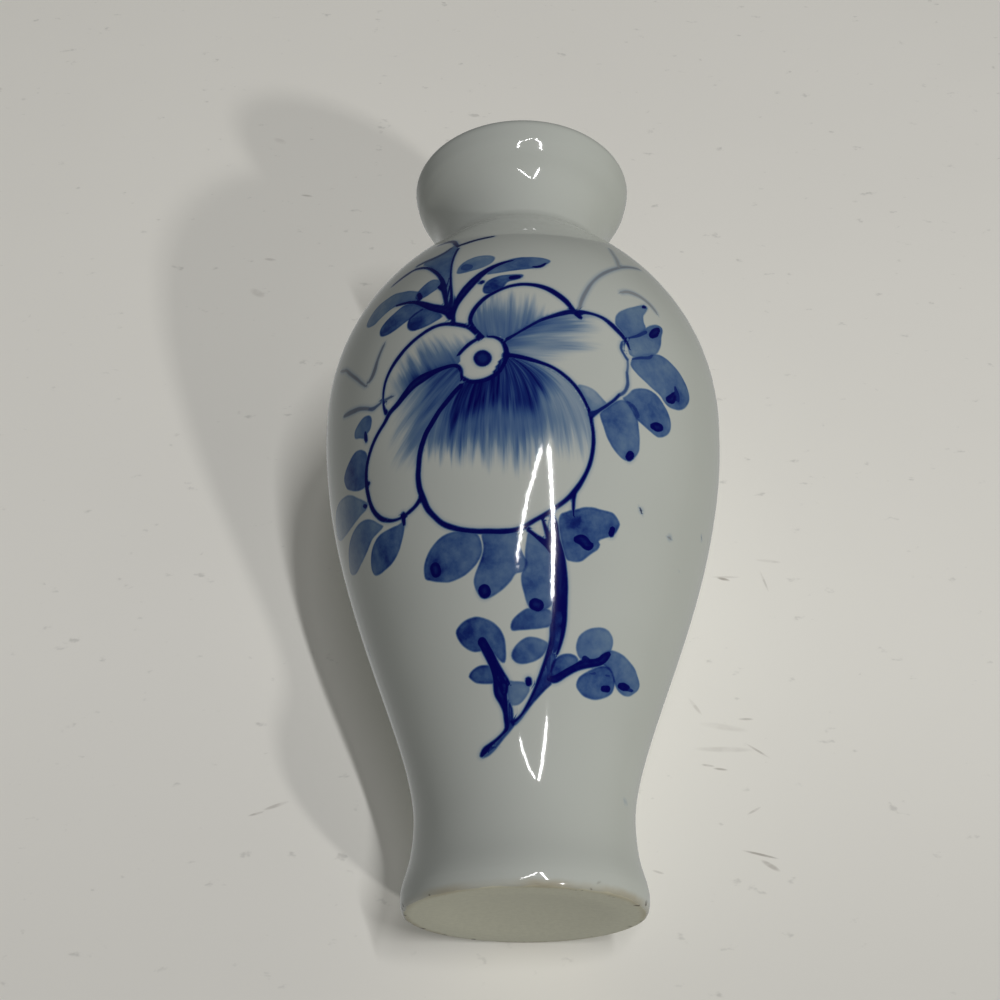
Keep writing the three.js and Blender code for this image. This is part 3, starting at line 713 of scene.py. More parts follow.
def wall_profile(height, belly, wall):
    """The closed half profile, as radius, level, and run up the outside.

    From the axis: the dish z = depth (1 - (r / edge)^2), the flat ring, the rounded foot, five Bezier
    stretches up to the flare's brow, an arc for the lip, then the outside moved inwards by the wall's
    thickness, a quarter circle and the flat floor. The run is negative under the foot and goes on
    growing over the lip and down the inside.
    """
    lip = wall / 2
    centre = np.array([MOUTH_RADIUS - lip, height - lip])
    throat, flare, brow = (
        np.array([math.sin(lean), math.cos(lean)]) for lean in (THROAT_LEAN, CREASE_LEAN, BROW_LEAN)
    )
    throat_end = centre + lip * np.array([throat[1], -throat[0]])
    brow_end = centre + lip * np.array([brow[1], -brow[0]])
    crease = np.array([CREASE[0], height - CREASE[1]])
    rest, widest = (REST_RADIUS, 0), (belly, BELLY_LEVEL)

    dish = np.linspace(0, DISH_RADIUS, 9)[1:]
    under = np.column_stack([dish, DISH_DEPTH * (1 - (dish / DISH_RADIUS) ** 2)])
    ring = np.column_stack([np.linspace(DISH_RADIUS, REST_RADIUS, 5)[1:-1], np.zeros(3)])
    foot, _ = bezier(rest, ((REST_RADIUS + 2 * FOOT[0]) / 3, 0), (FOOT[0], FOOT[1] / 3), FOOT, 40)
    stem, stem_along = bezier(FOOT, (FOOT[0], STEM_HANDLES[0]), (WAIST[0], STEM_HANDLES[1]), WAIST, 40)
    body, body_along = bezier(WAIST, (WAIST[0], BODY_HANDLES[0]), (belly, BODY_HANDLES[1]), widest, 400)
    shoulder, shoulder_along = bezier(
        widest, (belly, SHOULDER_HANDLES[0]), (NECK[0], SHOULDER_HANDLES[1]), NECK, 300
    )
    neck, _ = bezier(NECK, (NECK[0], NECK_HANDLE), crease - BELOW_CREASE * flare, crease, 60)
    mouth, _ = bezier(crease, crease + ABOVE_CREASE * flare, brow_end - BELOW_BROW * brow, brow_end, 60)
    outside = spaced(np.vstack([foot[:-1], stem[:-1], body[:-1], shoulder[:-1], neck[:-1], mouth]), ROW_SPANS)
    turn = np.linspace(-BROW_LEAN, math.pi - THROAT_LEAN, 13)[1:]
    rim = centre + lip * np.column_stack([np.cos(turn), np.sin(turn)])

    inside_mouth, mouth_along = bezier(
        NECK, (NECK[0], INNER_NECK_HANDLE), throat_end - DOWN_THROAT * throat, throat_end, 13
    )
    walls = [
        (stem, stem_along, 13), (body, body_along, 18), (shoulder, shoulder_along, 14),
        (inside_mouth, mouth_along, 2),
    ]
    inner = np.vstack([
        (points + wall * np.column_stack([-along[:, 1], along[:, 0]]))[::step] for points, along, step in walls
    ])
    fillet_top = FLOOR + FILLET
    inner = inner[(inner[:, 1] > fillet_top + 0.4) & (inner[:, 1] < rim[-1, 1] - 0.5)][::-1]
    inner = inner[np.r_[True, np.diff(inner[:, 1]) < -0.2]]
    quarter = np.linspace(0, math.pi / 2, 9)
    base = inner[-1, 0]
    fillet = np.column_stack([base - FILLET * (1 - np.cos(quarter)), fillet_top - FILLET * np.sin(quarter)])
    floor = np.column_stack([np.linspace(fillet[-1, 0], 0, 7)[1:-1], np.full(5, FLOOR)])
    points = np.vstack([under, ring, outside, rim, inner, fillet, floor])
    run = np.r_[0, np.cumsum(np.hypot(*np.diff(points, axis=0).T))]
    return points[:, 0], points[:, 1], run - run[len(under) + len(ring)]


def wall_angles():
    """Angles of the mesh's columns."""
    return np.concatenate([np.linspace(a, b, count, endpoint=False) for a, b, count in COLUMN_SPANS])


# The painting as fields over the wall.


def toward(points, angle, run, radius):
    """Offsets in millimetres from each place on the wall to each point: across at the place's radius, and up."""
    across = (points[None, :, 0] - angle[:, None]) * np.pi / 180 * radius[:, None]
    return across, points[None, :, 1] - run[:, None]


def path_distance(path, angle, run, radius, closed=False):
    """Distance from each place to the path, and how far along its nearest segment the nearest point is."""
    if closed:
        path = np.vstack([path, path[:1]])
    x, y = toward(path, angle, run, radius)
    ax, ay, bx, by = x[:, :-1], y[:, :-1], x[:, 1:], y[:, 1:]
    dx, dy = bx - ax, by - ay
    share = np.clip(-(ax * dx + ay * dy) / np.maximum(dx * dx + dy * dy, 1e-12), 0, 1)
    return np.hypot(ax + share * dx, ay + share * dy), share, (ax, ay, bx, by)


def near(path, angle, run, radius, reach=FAR):
    """Places within reach of the path's own box."""
    low, high = path[:, :2].min(0), path[:, :2].max(0)
    wide = np.degrees(reach / radius)
    return np.flatnonzero(
        (angle > low[0] - wide) & (angle < high[0] + wide) & (run > low[1] - reach) & (run < high[1] + reach)
    )


def inside(edges):
    """Whether each place is inside a closed path, by the number of its edges crossed on the way out."""
    ax, ay, bx, by = edges
    crosses = (ay > 0) != (by > 0)
    at = ax + (bx - ax) * (-ay) / np.where(by == ay, 1e-12, by - ay)
    return (np.sum(crosses & (at > 0), axis=1) % 2) == 1


def line_field(lines, angle, run, radius):
    """For each place, two vectors about the nearest line.

    The first holds the signed distance from its middle, plus on its left, half its width and its darkness.
    The second holds the plain distance outside its edge, less an allowance for thin lines, and its greyness.
    The signed distance keeps a thin line sharp between the mesh's points, and the plain one cuts off its ends.
    """
    signed = np.tile([FAR, 0.2, 0.0], (len(angle), 1))
    plain = np.tile([FAR, 0.0, 0.0], (len(angle), 1))
    best = np.full(len(angle), FAR)
    for dark, grey, points in lines:
        path = smooth_path(points)
        spots = near(path, angle, run, radius)
        distance, share, (ax, ay, bx, by) = path_distance(path, angle[spots], run[spots], radius[spots])
        width = path[None, :-1, 2] + share * (path[None, 1:, 2] - path[None, :-1, 2])
        outside = distance - width / 2
        nearest = outside.argmin(1)
        row = np.arange(len(spots))
        left = np.sign(ax * by - ay * bx)[row, nearest]
        half = width[row, nearest] / 2
        outside = outside[row, nearest]
        # Among lines that touch, the darker one shows.
        rank = outside - 0.3 * dark
        first = rank < best[spots]
        chosen = spots[first]
        best[chosen] = rank[first]
        signed[chosen, 0] = (left * distance[row, nearest])[first]
        signed[chosen, 1] = half[first]
        signed[chosen, 2] = dark
        allowance = np.interp(half, [0.2, 0.3], [0.25, 0.0])
        plain[chosen, 0] = (outside - allowance)[first]
        plain[chosen, 1] = grey
    return signed, plain


def leaf_field(leaves, coat, angle, run, radius):
    """For each place: distance outside the nearest leaf of this coat, and how strong its wash is there."""
    field = np.tile([FAR, 0.0, 0.0], (len(angle), 1))
    for layer, strength, darkest, outline in leaves:
        if layer != coat:
            continue
        path = smooth_path(outline, closed=True)
        spots = near(path, angle, run, radius)
        place = angle[spots], run[spots], radius[spots]
        distance, _, edges = path_distance(path, *place, closed=True)
        distance = distance.min(1)
        distance = np.where(inside(edges), -distance, distance)
        across, up = toward(np.array([darkest]), *place)
        pool = np.exp(-(across[:, 0] ** 2 + up[:, 0] ** 2) / POOL**2)
        first = distance < field[spots, 0]
        field[spots[first], 0] = distance[first]
        field[spots[first], 1] = (strength * (0.9 + 0.3 * pool))[first]
    return field


def petal_field(petals, angle, run, radius):
    """For each place inside a petal: its stroke and length along it, where the tones end, and the tones.

    The strokes fan out from the petal's start: at a length v along the heading the fan is
    w = opening (1 - e^(-v / curve)) wide, and a stroke keeps its share u = across / w, so it bends towards
    the heading.
    """
    flow, lengths, tones = (np.zeros((len(angle), 3)) for _ in range(3))
    for number, (start, heading, opening, curve, outline, rows) in enumerate(petals):
        path = smooth_path(outline, closed=True)
        spots = near(path, angle, run, radius, 0.6)
        distance, _, edges = path_distance(path, angle[spots], run[spots], radius[spots], closed=True)
        spots = spots[inside(edges) | (distance.min(1) < 0.4)]
        x, y = toward(np.array([start]), angle[spots], run[spots], radius[spots])
        x, y = -x[:, 0], -y[:, 0]
        ahead = math.sin(math.radians(heading)), math.cos(math.radians(heading))
        along = np.maximum(x * ahead[0] + y * ahead[1], 0.1)
        across = -x * ahead[1] + y * ahead[0]
        share = across / (opening * (1 - np.exp(-along / curve)))
        table = np.array(rows)
        values = [np.interp(share, table[:, 0], table[:, k]) for k in range(1, 6)]
        flow[spots] = np.stack([share * opening / STROKE, along, np.full(len(spots), 7.3 * number)], -1)
        lengths[spots] = np.stack(values[:3], -1)
        tones[spots] = np.stack([values[3], values[4], np.ones(len(spots))], -1)
    return flow, lengths, tones


# The mesh.


def revolve(name, radius, level, angles, first_pole):
    """A closed surface of revolution: x = r sin a, y = -r cos a, z = level, with one point at each pole.

    The first pole's level is given, and the last one lies level with the last row.
    """
    rows, columns = len(radius), len(angles)
    turn = np.radians(angles)
    grid = np.stack(
        [np.outer(radius, np.sin(turn)), -np.outer(radius, np.cos(turn)), np.outer(level, np.ones(columns))], -1
    ).reshape(-1, 3)
    points = np.vstack([grid, [0, 0, first_pole], [0, 0, level[-1]]])
    index = np.arange(rows * columns).reshape(rows, columns)
    right = np.roll(index, -1, 1)
    quads = np.stack([index[:-1], right[:-1], right[1:], index[1:]], -1).reshape(-1, 4)
    low = np.stack([right[0], index[0], np.full(columns, len(grid))], -1)
    high = np.stack([index[-1], right[-1], np.full(columns, len(grid) + 1)], -1)
    corners = np.concatenate([quads.ravel(), low.ravel(), high.ravel()])
    totals = np.concatenate([np.full(len(quads), 4), np.full(2 * columns, 3)])
    mesh = bpy.data.meshes.new(name)
    mesh.vertices.add(len(points))
    mesh.vertices.foreach_set("co", (points * MM).ravel())
    mesh.loops.add(len(corners))
    mesh.loops.foreach_set("vertex_index", corners)
    mesh.polygons.add(len(totals))
    mesh.polygons.foreach_set("loop_start", np.concatenate([[0], np.cumsum(totals)[:-1]]))
    mesh.polygons.foreach_set("use_smooth", np.ones(len(totals), bool))
    mesh.update(calc_edges=True)
    mesh.validate()
    return mesh


def store(mesh, name, values):
    """Writes one value or vector for each point of the mesh."""
    kind = "FLOAT" if values.ndim == 1 else "FLOAT_VECTOR"
    made = mesh.attributes.new(name, kind, "POINT")
    made.data.foreach_set("value" if values.ndim == 1 else "vector", values.astype(np.float32).ravel())


def add_object(mesh, material):
    piece = bpy.data.objects.new(mesh.name, mesh)
    bpy.context.scene.collection.objects.link(piece)
    mesh.materials.append(material)
    return piece


# Shader helpers.


def new_material(name):
    material = bpy.data.materials.new(name)
    material.use_nodes = True
    tree = material.node_tree
    tree.nodes.clear()
    return material, tree


def node(tree, kind, settings=None, **inputs):
    """Adds a node, sets its own settings, and sets or links its inputs, by name or as i and their number."""
    made = tree.nodes.new(kind)
    for key, value in (settings or {}).items():
        setattr(made, key, value)
    for key, value in inputs.items():
        numbered = key[0] == "i" and key[1:].isdigit()
        socket = made.inputs[int(key[1:]) if numbered else key.replace("_", " ")]
        if isinstance(value, bpy.types.NodeSocket):
            tree.links.new(value, socket)
        else:
            socket.default_value = value
    return made


def maths(tree, operation, a, b=0.0, c=0.0, clamp=False):
    settings = {"operation": operation, "use_clamp": clamp}
    return node(tree, "ShaderNodeMath", settings, i0=a, i1=b, i2=c).outputs[0]


def vector_maths(tree, operation, a, b, output="Vector"):
    return node(tree, "ShaderNodeVectorMath", {"operation": operation}, i0=a, i1=b).outputs[output]


def ease(tree, value, low, high, to_low=0.0, to_high=1.0):
    """A smooth step from to_low to to_high as the value goes from low to high."""
    made = node(
        tree, "ShaderNodeMapRange", {"interpolation_type": "SMOOTHSTEP"},
        Value=value, From_Min=low, From_Max=high, To_Min=to_low, To_Max=to_high,
    )
    return made.outputs[0]


def noise(tree, vector, scale, detail=2.0, rough=0.5):
    made = node(tree, "ShaderNodeTexNoise", None, Vector=vector, Scale=scale, Detail=detail, Roughness=rough)
    return made.outputs["Fac"]


def attribute(tree, name):
    return node(tree, "ShaderNodeAttribute", {"attribute_name": name, "attribute_type": "GEOMETRY"})


def split(tree, vector):
    return node(tree, "ShaderNodeSeparateXYZ", None, Vector=vector).outputs


def mix_colour(tree, share, a, b, blend="MIX"):
    made = tree.nodes.new("ShaderNodeMix")
    made.data_type = "RGBA"
    made.blend_type = blend
    for socket, value in ((made.inputs[0], share), (made.inputs[6], a), (made.inputs[7], b)):
        if isinstance(value, bpy.types.NodeSocket):
            tree.links.new(value, socket)
        else:
            socket.default_value = value if isinstance(value, float) else (*value, 1.0)[:4]
    return made.outputs[2]


def ramp(tree, value, stops):
    made = tree.nodes.new("ShaderNodeValToRGB")
    tree.links.new(value, made.inputs[0])
    elements = made.color_ramp.elements
    while len(elements) < len(stops):
        elements.new(0.5)
    for element, (place, colour) in zip(elements, stops):
        element.position = place
        element.color = (*colour, 1.0)
    return made.outputs[0]


def soft_edge_group():
    """Node group: the cover of a brush mark from the distance outside its edge, with a wavering, bled edge."""
    group = bpy.data.node_groups.new("brush_edge", "ShaderNodeTree")
    for name in ("Distance", "Softness", "Waver", "Noise"):
        group.interface.new_socket(name, in_out="INPUT", socket_type="NodeSocketFloat")
    group.interface.new_socket("Cover", in_out="OUTPUT", socket_type="NodeSocketFloat")
    given = group.nodes.new("NodeGroupInput").outputs
    target = group.nodes.new("NodeGroupOutput")
    shake = maths(group, "MULTIPLY", maths(group, "SUBTRACT", given["Noise"], 0.5), given["Waver"])
    distance = maths(group, "ADD", given["Distance"], shake)
    share = maths(group, "DIVIDE", distance, given["Softness"])
    group.links.new(ease(group, share, -1.0, 1.0, 1.0, 0.0), target.inputs["Cover"])
    return group


def brush_edge(tree, group, distance, softness, waver, wobble):
    made = tree.nodes.new("ShaderNodeGroup")
    made.node_tree = group
    tree.links.new(distance, made.inputs["Distance"])
    tree.links.new(wobble, made.inputs["Noise"])
    made.inputs["Softness"].default_value = softness
    made.inputs["Waver"].default_value = waver
    return made.outputs["Cover"]


def brush_lines(tree, edge, fine, middle):
    """The tone of the lines, the faint halo bled around them, and how grey they are."""
    line = split(tree, attribute(tree, "brush_line").outputs["Vector"])
    reach = split(tree, attribute(tree, "brush_reach").outputs["Vector"])
    beside = maths(tree, "SUBTRACT", maths(tree, "ABSOLUTE", line[0]), line[1])
    distance = maths(tree, "MAXIMUM", beside, reach[0])
    cover = brush_edge(tree, edge, distance, 0.15, 0.14, middle)
    halo = ease(tree, distance, -0.1, 0.65, 0.14, 0.0)
    # The middle of a wide mark is a little paler than its edge.
    worn = maths(tree, "MULTIPLY_ADD", fine, 0.10, ease(tree, distance, -0.9, -0.35, 0.84, 0.95))
    tone = maths(tree, "MULTIPLY", cover, maths(tree, "MULTIPLY", line[2], worn))
    return tone, halo, maths(tree, "MULTIPLY", cover, reach[1])


def leaf_washes(tree, edge, middle, mottle):
    """The tone of the two coats of wash: mottled, darker at the rim and where one coat lies on the other."""
    uneven = maths(tree, "MULTIPLY_ADD", mottle, 0.9, 0.55)
    tones = []
    for name in ("wash_one", "wash_two"):
        wash = split(tree, attribute(tree, name).outputs["Vector"])
        cover = brush_edge(tree, edge, wash[0], 0.16, 0.22, middle)
        rim = ease(tree, wash[0], -0.5, -0.1, 0.0, 0.07)
        strength = maths(tree, "ADD", maths(tree, "MULTIPLY", wash[1], uneven), rim)
        tones.append(maths(tree, "MULTIPLY", cover, strength))
    thick, thin = maths(tree, "MAXIMUM", *tones), maths(tree, "MINIMUM", *tones)
    return maths(tree, "MULTIPLY_ADD", thin, 0.25, thick)


def petal_shading(tree):
    """The tone of the petals' strokes: a dark root, a middle tone that fades out, and gaps between strokes."""
    flow = split(tree, attribute(tree, "petal_flow").outputs["Vector"])
    ends = split(tree, attribute(tree, "petal_lengths").outputs["Vector"])
    depth = split(tree, attribute(tree, "petal_tones").outputs["Vector"])
    slow = maths(tree, "MULTIPLY", flow[1], 0.10)
    stroke = node(tree, "ShaderNodeCombineXYZ", None, X=flow[0], Y=slow, Z=flow[2]).outputs[0]
    elsewhere = vector_maths(tree, "ADD", stroke, (31.0, 4.0, 9.0))
    streak = maths(tree, "SUBTRACT", noise(tree, stroke, 1.0, 2.0, 0.55), 0.5)
    other = maths(tree, "SUBTRACT", noise(tree, elsewhere, 0.8, 1.0), 0.5)
    length = maths(tree, "MULTIPLY_ADD", streak, -4.5, flow[1])
    root = maths(tree, "MULTIPLY_ADD", other, 4.0, flow[1])
    deep = ease(tree, maths(tree, "SUBTRACT", root, ends[0]), -2.2, 1.4, 1.0, 0.0)
    fade_start = maths(tree, "SUBTRACT", ends[1], 1.2)
    fade_end = maths(tree, "ADD", ends[2], 0.7)
    fade = ease(tree, length, fade_start, fade_end, 1.0, 0.0)
    middle_tone = maths(tree, "MULTIPLY", depth[1], fade)
    deep_tone = maths(tree, "MULTIPLY", maths(tree, "SUBTRACT", depth[0], depth[1]), deep)
    # The gaps between the strokes show more towards their ends.
    contrast = maths(tree, "MULTIPLY_ADD", fade, -1.3, 2.3)
    gap = maths(tree, "MULTIPLY_ADD", streak, contrast, 1.0)
    shade = maths(tree, "MULTIPLY", maths(tree, "ADD", middle_tone, deep_tone), gap)
    return maths(tree, "MULTIPLY", shade, depth[2])


def cobalt_pigment(tree, tone, grey_share, thickest):
    """What the pigment lets through at each tone: blue, or greyer in the faint twigs and the specks."""
    blue = ramp(tree, tone, (
        (0.0, (1.0, 1.0, 1.0)), (0.2, (0.56, 0.66, 0.83)), (0.4, (0.25, 0.38, 0.63)),
        (0.55, (0.15, 0.265, 0.56)), (0.7, (0.068, 0.155, 0.46)), (0.85, (0.014, 0.045, 0.32)),
        (1.0, thickest),
    ))
    grey = ramp(tree, tone, ((0.0, (1.0, 1.0, 1.0)), (0.4, (0.38, 0.38, 0.44)), (1.0, (0.01, 0.01, 0.05))))
    return mix_colour(tree, grey_share, blue, grey)


def shades(colour, factor):
    return tuple(factor * channel for channel in colour)


def porcelain_material(colours):
    """Clear glossy glaze over cobalt painting, the bare clay of the foot and the iron-brown line between."""
    material, tree = new_material("painted_porcelain")
    edge = soft_edge_group()
    place = node(tree, "ShaderNodeTexCoord").outputs["Object"]
    fine = noise(tree, place, 1400.0, 3.0)
    middle = noise(tree, place, 380.0, 2.0)
    broad = noise(tree, place, 60.0, 2.0)
    mottle = noise(tree, place, 520.0, 3.0, 0.6)

    line_tone, halo, grey_share = brush_lines(tree, edge, fine, middle)
    washes = leaf_washes(tree, edge, middle, mottle)
    tone = maths(tree, "MAXIMUM", maths(tree, "MAXIMUM", washes, petal_shading(tree)), line_tone)
    bled = maths(tree, "MULTIPLY", halo, maths(tree, "SUBTRACT", 1.0, tone))
    tone = maths(tree, "ADD", tone, bled, clamp=True)
    pigment = cobalt_pigment(tree, tone, grey_share, tuple(colours.cobalt))
    body = mix_colour(tree, ease(tree, broad, 0.3, 0.7), shades(colours.glaze, 0.97), tuple(colours.glaze))
    painted = mix_colour(tree, 1.0, body, pigment, "MULTIPLY")

    run = attribute(tree, "wall_run").outputs["Fac"]
    from_glaze = maths(tree, "ADD", run, maths(tree, "MULTIPLY_ADD", middle, 0.8, -0.4))
    bare = ease(tree, from_glaze, 0.05, 0.35, 1.0, 0.0)
    clay = mix_colour(tree, fine, shades(colours.bisque, 0.88), shades(colours.bisque, 1.08))
    surface = mix_colour(tree, bare, painted, clay)
    band = maths(tree, "ABSOLUTE", maths(tree, "SUBTRACT", from_glaze, 0.3))
    patchy = ease(tree, broad, 0.38, 0.62, 0.1, 0.55)
    rust = maths(tree, "MULTIPLY", ease(tree, band, 0.1, 1.2, 1.0, 0.0), patchy)
    surface = mix_colour(tree, rust, surface, (0.3, 0.235, 0.12))
    grains = ease(tree, noise(tree, place, 620.0, 1.0), 0.665, 0.71)
    grit = maths(tree, "MULTIPLY", grains, ease(tree, band, 0.3, 1.3, 0.9, 0.0))
    surface = mix_colour(tree, grit, surface, (0.07, 0.05, 0.03))

    shader = node(tree, "ShaderNodeBsdfPrincipled", None, Base_Color=surface)
    shader.inputs["IOR"].default_value = 1.5
    rough = maths(tree, "MULTIPLY_ADD", bare, 0.55, maths(tree, "MULTIPLY_ADD", fine, 0.02, 0.05))
    tree.links.new(rough, shader.inputs["Roughness"])
    ripple = maths(tree, "MULTIPLY_ADD", middle, 0.1, maths(tree, "MULTIPLY", fine, 0.03))
    ripple = maths(tree, "MULTIPLY_ADD", noise(tree, place, 45.0, 1.0), 0.6, ripple)
    height = maths(tree, "MULTIPLY_ADD", bare, maths(tree, "MULTIPLY", fine, 0.25), ripple)
    bump = node(tree, "ShaderNodeBump", None, Height=height, Strength=0.25, Distance=0.0004)
    tree.links.new(bump.outputs["Normal"], shader.inputs["Normal"])
    output = tree.nodes.new("ShaderNodeOutputMaterial")
    tree.links.new(shader.outputs[0], output.inputs["Surface"])
    return material


# Operators, with the camera, the lights and the stage that they make.


class BUDVASE_OT_vase(bpy.types.Operator):
    """Builds the painted vase wall as one closed surface"""

    bl_idname = "budvase.vase"
    bl_label = "Vase"

    def execute(self, context):
        sizes = context.scene.budvase_sizes
        radius, level, run = wall_profile(sizes.height / MM, sizes.belly / MM, sizes.wall / MM)
        angles = wall_angles()
        mesh = revolve("bud_vase", radius, level, angles, DISH_DEPTH)
        count = len(mesh.vertices)
        angle = np.concatenate([np.tile(angles, len(radius)), [0, 0]])
        runs = np.concatenate([np.repeat(run, len(angles)), [run[0], run[-1]]])
        radii = np.concatenate([np.repeat(radius, len(angles)), [radius[0], radius[-1]]])
        painted = np.flatnonzero((runs > PAINTED_RUNS[0]) & (runs < PAINTED_RUNS[1]))
        place = angle[painted], runs[painted], radii[painted]

        def spread_out(values, empty):
            whole = np.tile(np.array(empty, float), (count, 1))
            whole[painted] = values
            return whole

        lines = LINES + SPRIG_LINES + tuple((dark, 0.0, points) for dark, points in DABS)
        lines += tuple((dark, 1.0, points) for dark, points in SPECKS)
        signed, plain = line_field(lines, *place)
        store(mesh, "brush_line", spread_out(signed, (FAR, 0.2, 0)))
        store(mesh, "brush_reach", spread_out(plain, (FAR, 0, 0)))
        store(mesh, "wash_one", spread_out(leaf_field(LEAVES, 0, *place), (FAR, 0, 0)))
        store(mesh, "wash_two", spread_out(leaf_field(LEAVES, 1, *place), (FAR, 0, 0)))
        for name, values in zip(("petal_flow", "petal_lengths", "petal_tones"), petal_field(PETALS, *place)):
            store(mesh, name, spread_out(values, (0, 0, 0)))
        store(mesh, "wall_run", runs)
        vase = add_object(mesh, porcelain_material(context.scene.budvase_colours))
        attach(vase, "root")
        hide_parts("vase")
        return {"FINISHED"}


def photo_camera():
    """The camera below the foot that looks up the painted side, as the photograph does."""
    data = bpy.data.cameras.new("camera")
    data.sensor_width = SENSOR
    data.lens = LENS
    data.clip_start = 0.01
    data.clip_end = 10.0
    camera = bpy.data.objects.new("camera", data)
    bpy.context.scene.collection.objects.link(camera)
    pitch, roll = math.radians(PITCH), math.radians(ROLL)
    right = Vector((1, 0, 0))
    ahead = Vector((0, math.cos(pitch), math.sin(pitch)))
    above = Vector((0, -math.sin(pitch), math.cos(pitch)))
    side = math.cos(roll) * right - math.sin(roll) * above
    top = math.sin(roll) * right + math.cos(roll) * above
    turn = Matrix((side, top, -ahead)).transposed().to_4x4()
    camera.matrix_world = Matrix.Translation(Vector(CAMERA_PLACE) * MM) @ turn
    bpy.context.scene.camera = camera


def board_marks(tree, place):
    """How strong the nearest mark is: an ellipse of its half length and half width, turned by its angle."""
    marks = 0.0
    for across, up, angle, half, thick, strength in MARKS:
        ahead = math.cos(math.radians(angle)) / MM, math.sin(math.radians(angle)) / MM
        from_mark = vector_maths(tree, "SUBTRACT", place, (across * MM, 0.0, up * MM))
        along, beside = (
            vector_maths(tree, "DOT_PRODUCT", from_mark, axis, "Value")
            for axis in ((ahead[0] / half, 0.0, ahead[1] / half), (-ahead[1] / thick, 0.0, ahead[0] / thick))
        )
        apart = maths(tree, "MULTIPLY_ADD", along, along, maths(tree, "MULTIPLY", beside, beside))
        marks = maths(tree, "MAXIMUM", marks, ease(tree, apart, 0.1, 1.3, 1.25 * strength, 0.0))
    return marks


def table_material(colours):
    """Matt pale board, lightly marked, with painted shade that darkens it towards the bottom, that is clear from
    behind.
    """
    material, tree = new_material("pale_table")
    place = node(tree, "ShaderNodeTexCoord").outputs["Object"]
    cloud = noise(tree, place, 14.0, 4.0, 0.6)
    drawn_out = vector_maths(tree, "MULTIPLY", place, (0.6, 1.0, 1.0))
    speck = ease(tree, noise(tree, drawn_out, 420.0, 3.0, 0.6), 0.655, 0.77, 0.0, 0.4)
    base = mix_colour(tree, cloud, shades(colours.table, 0.97), shades(colours.table, 1.02))
    base = mix_colour(tree, speck, base, shades(colours.table, 0.5))
    blotch = ease(tree, noise(tree, drawn_out, 700.0, 2.0), 0.35, 0.6, 0.45, 1.0)
    marked = maths(tree, "MULTIPLY", board_marks(tree, place), blotch)
    base = mix_colour(tree, marked, base, (0.16, 0.12, 0.09))
    # Painted shade: the board's colour is darkened towards the bottom, where the lights fall more strongly.
    lower = ease(tree, split(tree, place)[2], -0.03, 0.06, 0.84, 1.0)
    base = mix_colour(tree, lower, (0.0, 0.0, 0.0), base)
    shader = node(tree, "ShaderNodeBsdfPrincipled", None, Base_Color=base, Roughness=0.75)
    clear = tree.nodes.new("ShaderNodeBsdfTransparent")
    facing = tree.nodes.new("ShaderNodeNewGeometry")
    both = node(tree, "ShaderNodeMixShader", None, Fac=facing.outputs["Backfacing"])
    tree.links.new(shader.outputs[0], both.inputs[1])
    tree.links.new(clear.outputs[0], both.inputs[2])
    output = tree.nodes.new("ShaderNodeOutputMaterial")
    tree.links.new(both.outputs[0], output.inputs["Surface"])
    return material


def plane_mesh(name, centre, across, up):
    """A rectangle from its centre and two half sides, facing across x up."""
    centre, across, up = (np.array(v, float) for v in (centre, across, up))
    corners = [centre - across - up, centre + across - up, centre + across + up, centre - across + up]
    mesh = bpy.data.meshes.new(name)
    mesh.from_pydata([tuple(c * MM) for c in corners], [], [(0, 1, 2, 3)])
    mesh.update()
    return mesh


def sky_place(angle, rise, distance):
    """The place this far from the vase's middle, at an angle from -Y towards +X and a rise, both in degrees."""
    turn, lift = math.radians(angle), math.radians(rise)
    ahead = Vector((math.sin(turn) * math.cos(lift), -math.cos(turn) * math.cos(lift), math.sin(lift)))
    return MIDDLE + distance * ahead


def area_light(name, place, size, power, colour=(1.0, 1.0, 1.0)):
    """A rectangle of light at a place, facing the vase."""
    data = bpy.data.lights.new(name, "AREA")
    data.shape = "RECTANGLE"
    data.size, data.size_y = size
    data.energy = power
    data.color = colour
    light = bpy.data.objects.new(name, data)
    bpy.context.scene.collection.objects.link(light)
    turn = (MIDDLE - place).to_track_quat("-Z", "Y").to_matrix().to_4x4()
    light.matrix_world = Matrix.Translation(place) @ turn
    return light


def strip_light(name, top, foot, width, power):
    """A narrow strip of light from top to foot, facing the vase."""
    middle = (top + foot) / 2
    light = area_light(name, middle, (width, (foot - top).length), power)
    away = (middle - MIDDLE).normalized()
    length = (top - foot).normalized()
    side = length.cross(away).normalized()
    turn = Matrix((side, away.cross(side).normalized(), away)).transposed().to_4x4()
    light.matrix_world = Matrix.Translation(middle) @ turn


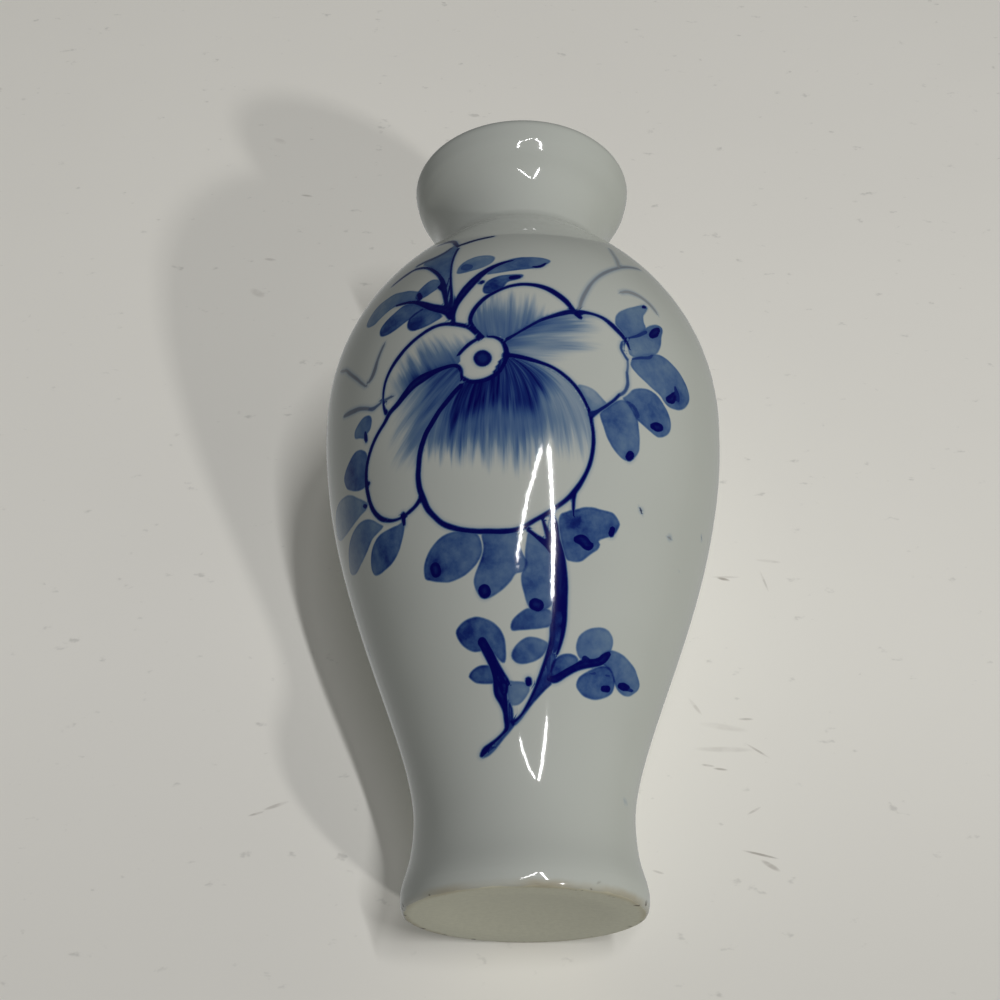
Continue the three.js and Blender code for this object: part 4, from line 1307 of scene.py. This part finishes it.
def studio_world():
    """Room light mostly from the right and left, a pale backdrop for the camera, a dim room in the glaze."""
    world = bpy.data.worlds.new("studio")
    world.use_nodes = True
    tree = world.node_tree
    tree.nodes.clear()
    direction = node(tree, "ShaderNodeTexCoord").outputs["Generated"]

    def lobe(axis, colour):
        """The colour where the direction is along the axis, fading to nothing towards its sides."""
        facing = vector_maths(tree, "DOT_PRODUCT", direction, axis, "Value")
        return mix_colour(tree, ease(tree, facing, 0.2, 0.9), (0.0, 0.0, 0.0), colour)

    room = mix_colour(tree, 1.0, lobe((0.97, 0.24, 0), ROOM_RIGHT), lobe((0, 0.45, -0.89), ROOM_BELOW), "ADD")
    room = mix_colour(tree, 1.0, room, lobe((-0.55, 0.83, 0), ROOM_LEFT), "ADD")
    room = mix_colour(tree, 1.0, room, ROOM_LIGHT, "ADD")
    shine = mix_colour(tree, 1.0, lobe((0, 1, 0), TABLE_REFLECTED), ROOM_REFLECTED, "ADD")
    rays = tree.nodes.new("ShaderNodeLightPath")
    room = mix_colour(tree, rays.outputs["Is Glossy Ray"], room, shine)
    seen = mix_colour(tree, rays.outputs["Is Camera Ray"], room, BACKDROP)
    background = node(tree, "ShaderNodeBackground", None, Color=seen)
    output = tree.nodes.new("ShaderNodeOutputWorld")
    tree.links.new(background.outputs[0], output.inputs["Surface"])
    return world


class BUDVASE_OT_stage(bpy.types.Operator):
    """Builds the board, the floor, the lights and the camera"""

    bl_idname = "budvase.stage"
    bl_label = "Stage"

    def execute(self, context):
        material = table_material(context.scene.budvase_colours)
        lean = math.radians(BOARD_LEAN)
        up = (0, STAGE_HALF * math.sin(lean), STAGE_HALF * math.cos(lean))
        board = plane_mesh("board", (0, BOARD_DISTANCE, BELLY_LEVEL), (STAGE_HALF, 0, 0), up)
        board_piece = add_object(board, material)
        floor = plane_mesh("floor", (0, 0, FLOOR_LEVEL), (STAGE_HALF, 0, 0), (0, STAGE_HALF, 0))
        floor_piece = add_object(floor, material)
        for piece in (board_piece, floor_piece):
            piece.visible_shadow = False
            piece.visible_diffuse = False
            piece.visible_glossy = False

        context.scene.world = studio_world()
        for number, (top, foot, power) in enumerate(LAMPS):
            strip_light("ceiling_lamp_%d" % number, sky_place(*top), sky_place(*foot), LAMP_WIDTH, power)
        area_light("side_light", sky_place(37, -38, 1.5), (0.07, 0.07), 5.3, (1.0, 0.98, 0.95))
        # This one shines along the camera's own direction, so it reaches only what the photograph leaves hidden.
        back = area_light("back_light", Vector((0, 1.75, 1.03)), (1.0, 1.0), 9.0)
        back.visible_glossy = False
        photo_camera()
        context.scene.view_settings.view_transform = "Standard"
        context.scene.view_settings.look = "None"
        return {"FINISHED"}


class BUDVASE_PT_panel(bpy.types.Panel):
    """Bud vase tools"""

    bl_idname = "BUDVASE_PT_panel"
    bl_label = "Bud vase"
    bl_space_type = "VIEW_3D"
    bl_region_type = "UI"
    bl_category = "Bud vase"

    def draw(self, context):
        layout = self.layout
        for settings in (context.scene.budvase_sizes, context.scene.budvase_colours):
            for name in settings.bl_rna.properties.keys():
                if name not in ("name", "rna_type"):
                    layout.prop(settings, name)
        for kind in OPERATORS:
            layout.operator(kind.bl_idname)


OPERATORS = (BUDVASE_OT_vase, BUDVASE_OT_stage)
CLASSES = (BUDVASE_PG_sizes, BUDVASE_PG_colours, *OPERATORS, BUDVASE_PT_panel)


def register():
    for kind in CLASSES:
        bpy.utils.register_class(kind)
    bpy.types.Scene.budvase_sizes = bpy.props.PointerProperty(type=BUDVASE_PG_sizes)
    bpy.types.Scene.budvase_colours = bpy.props.PointerProperty(type=BUDVASE_PG_colours)


def unregister():
    del bpy.types.Scene.budvase_colours
    del bpy.types.Scene.budvase_sizes
    for kind in reversed(CLASSES):
        bpy.utils.unregister_class(kind)


def main():
    register()
    bpy.ops.budvase.vase()
    bpy.ops.budvase.stage()


if __name__ == "__main__":
    main()
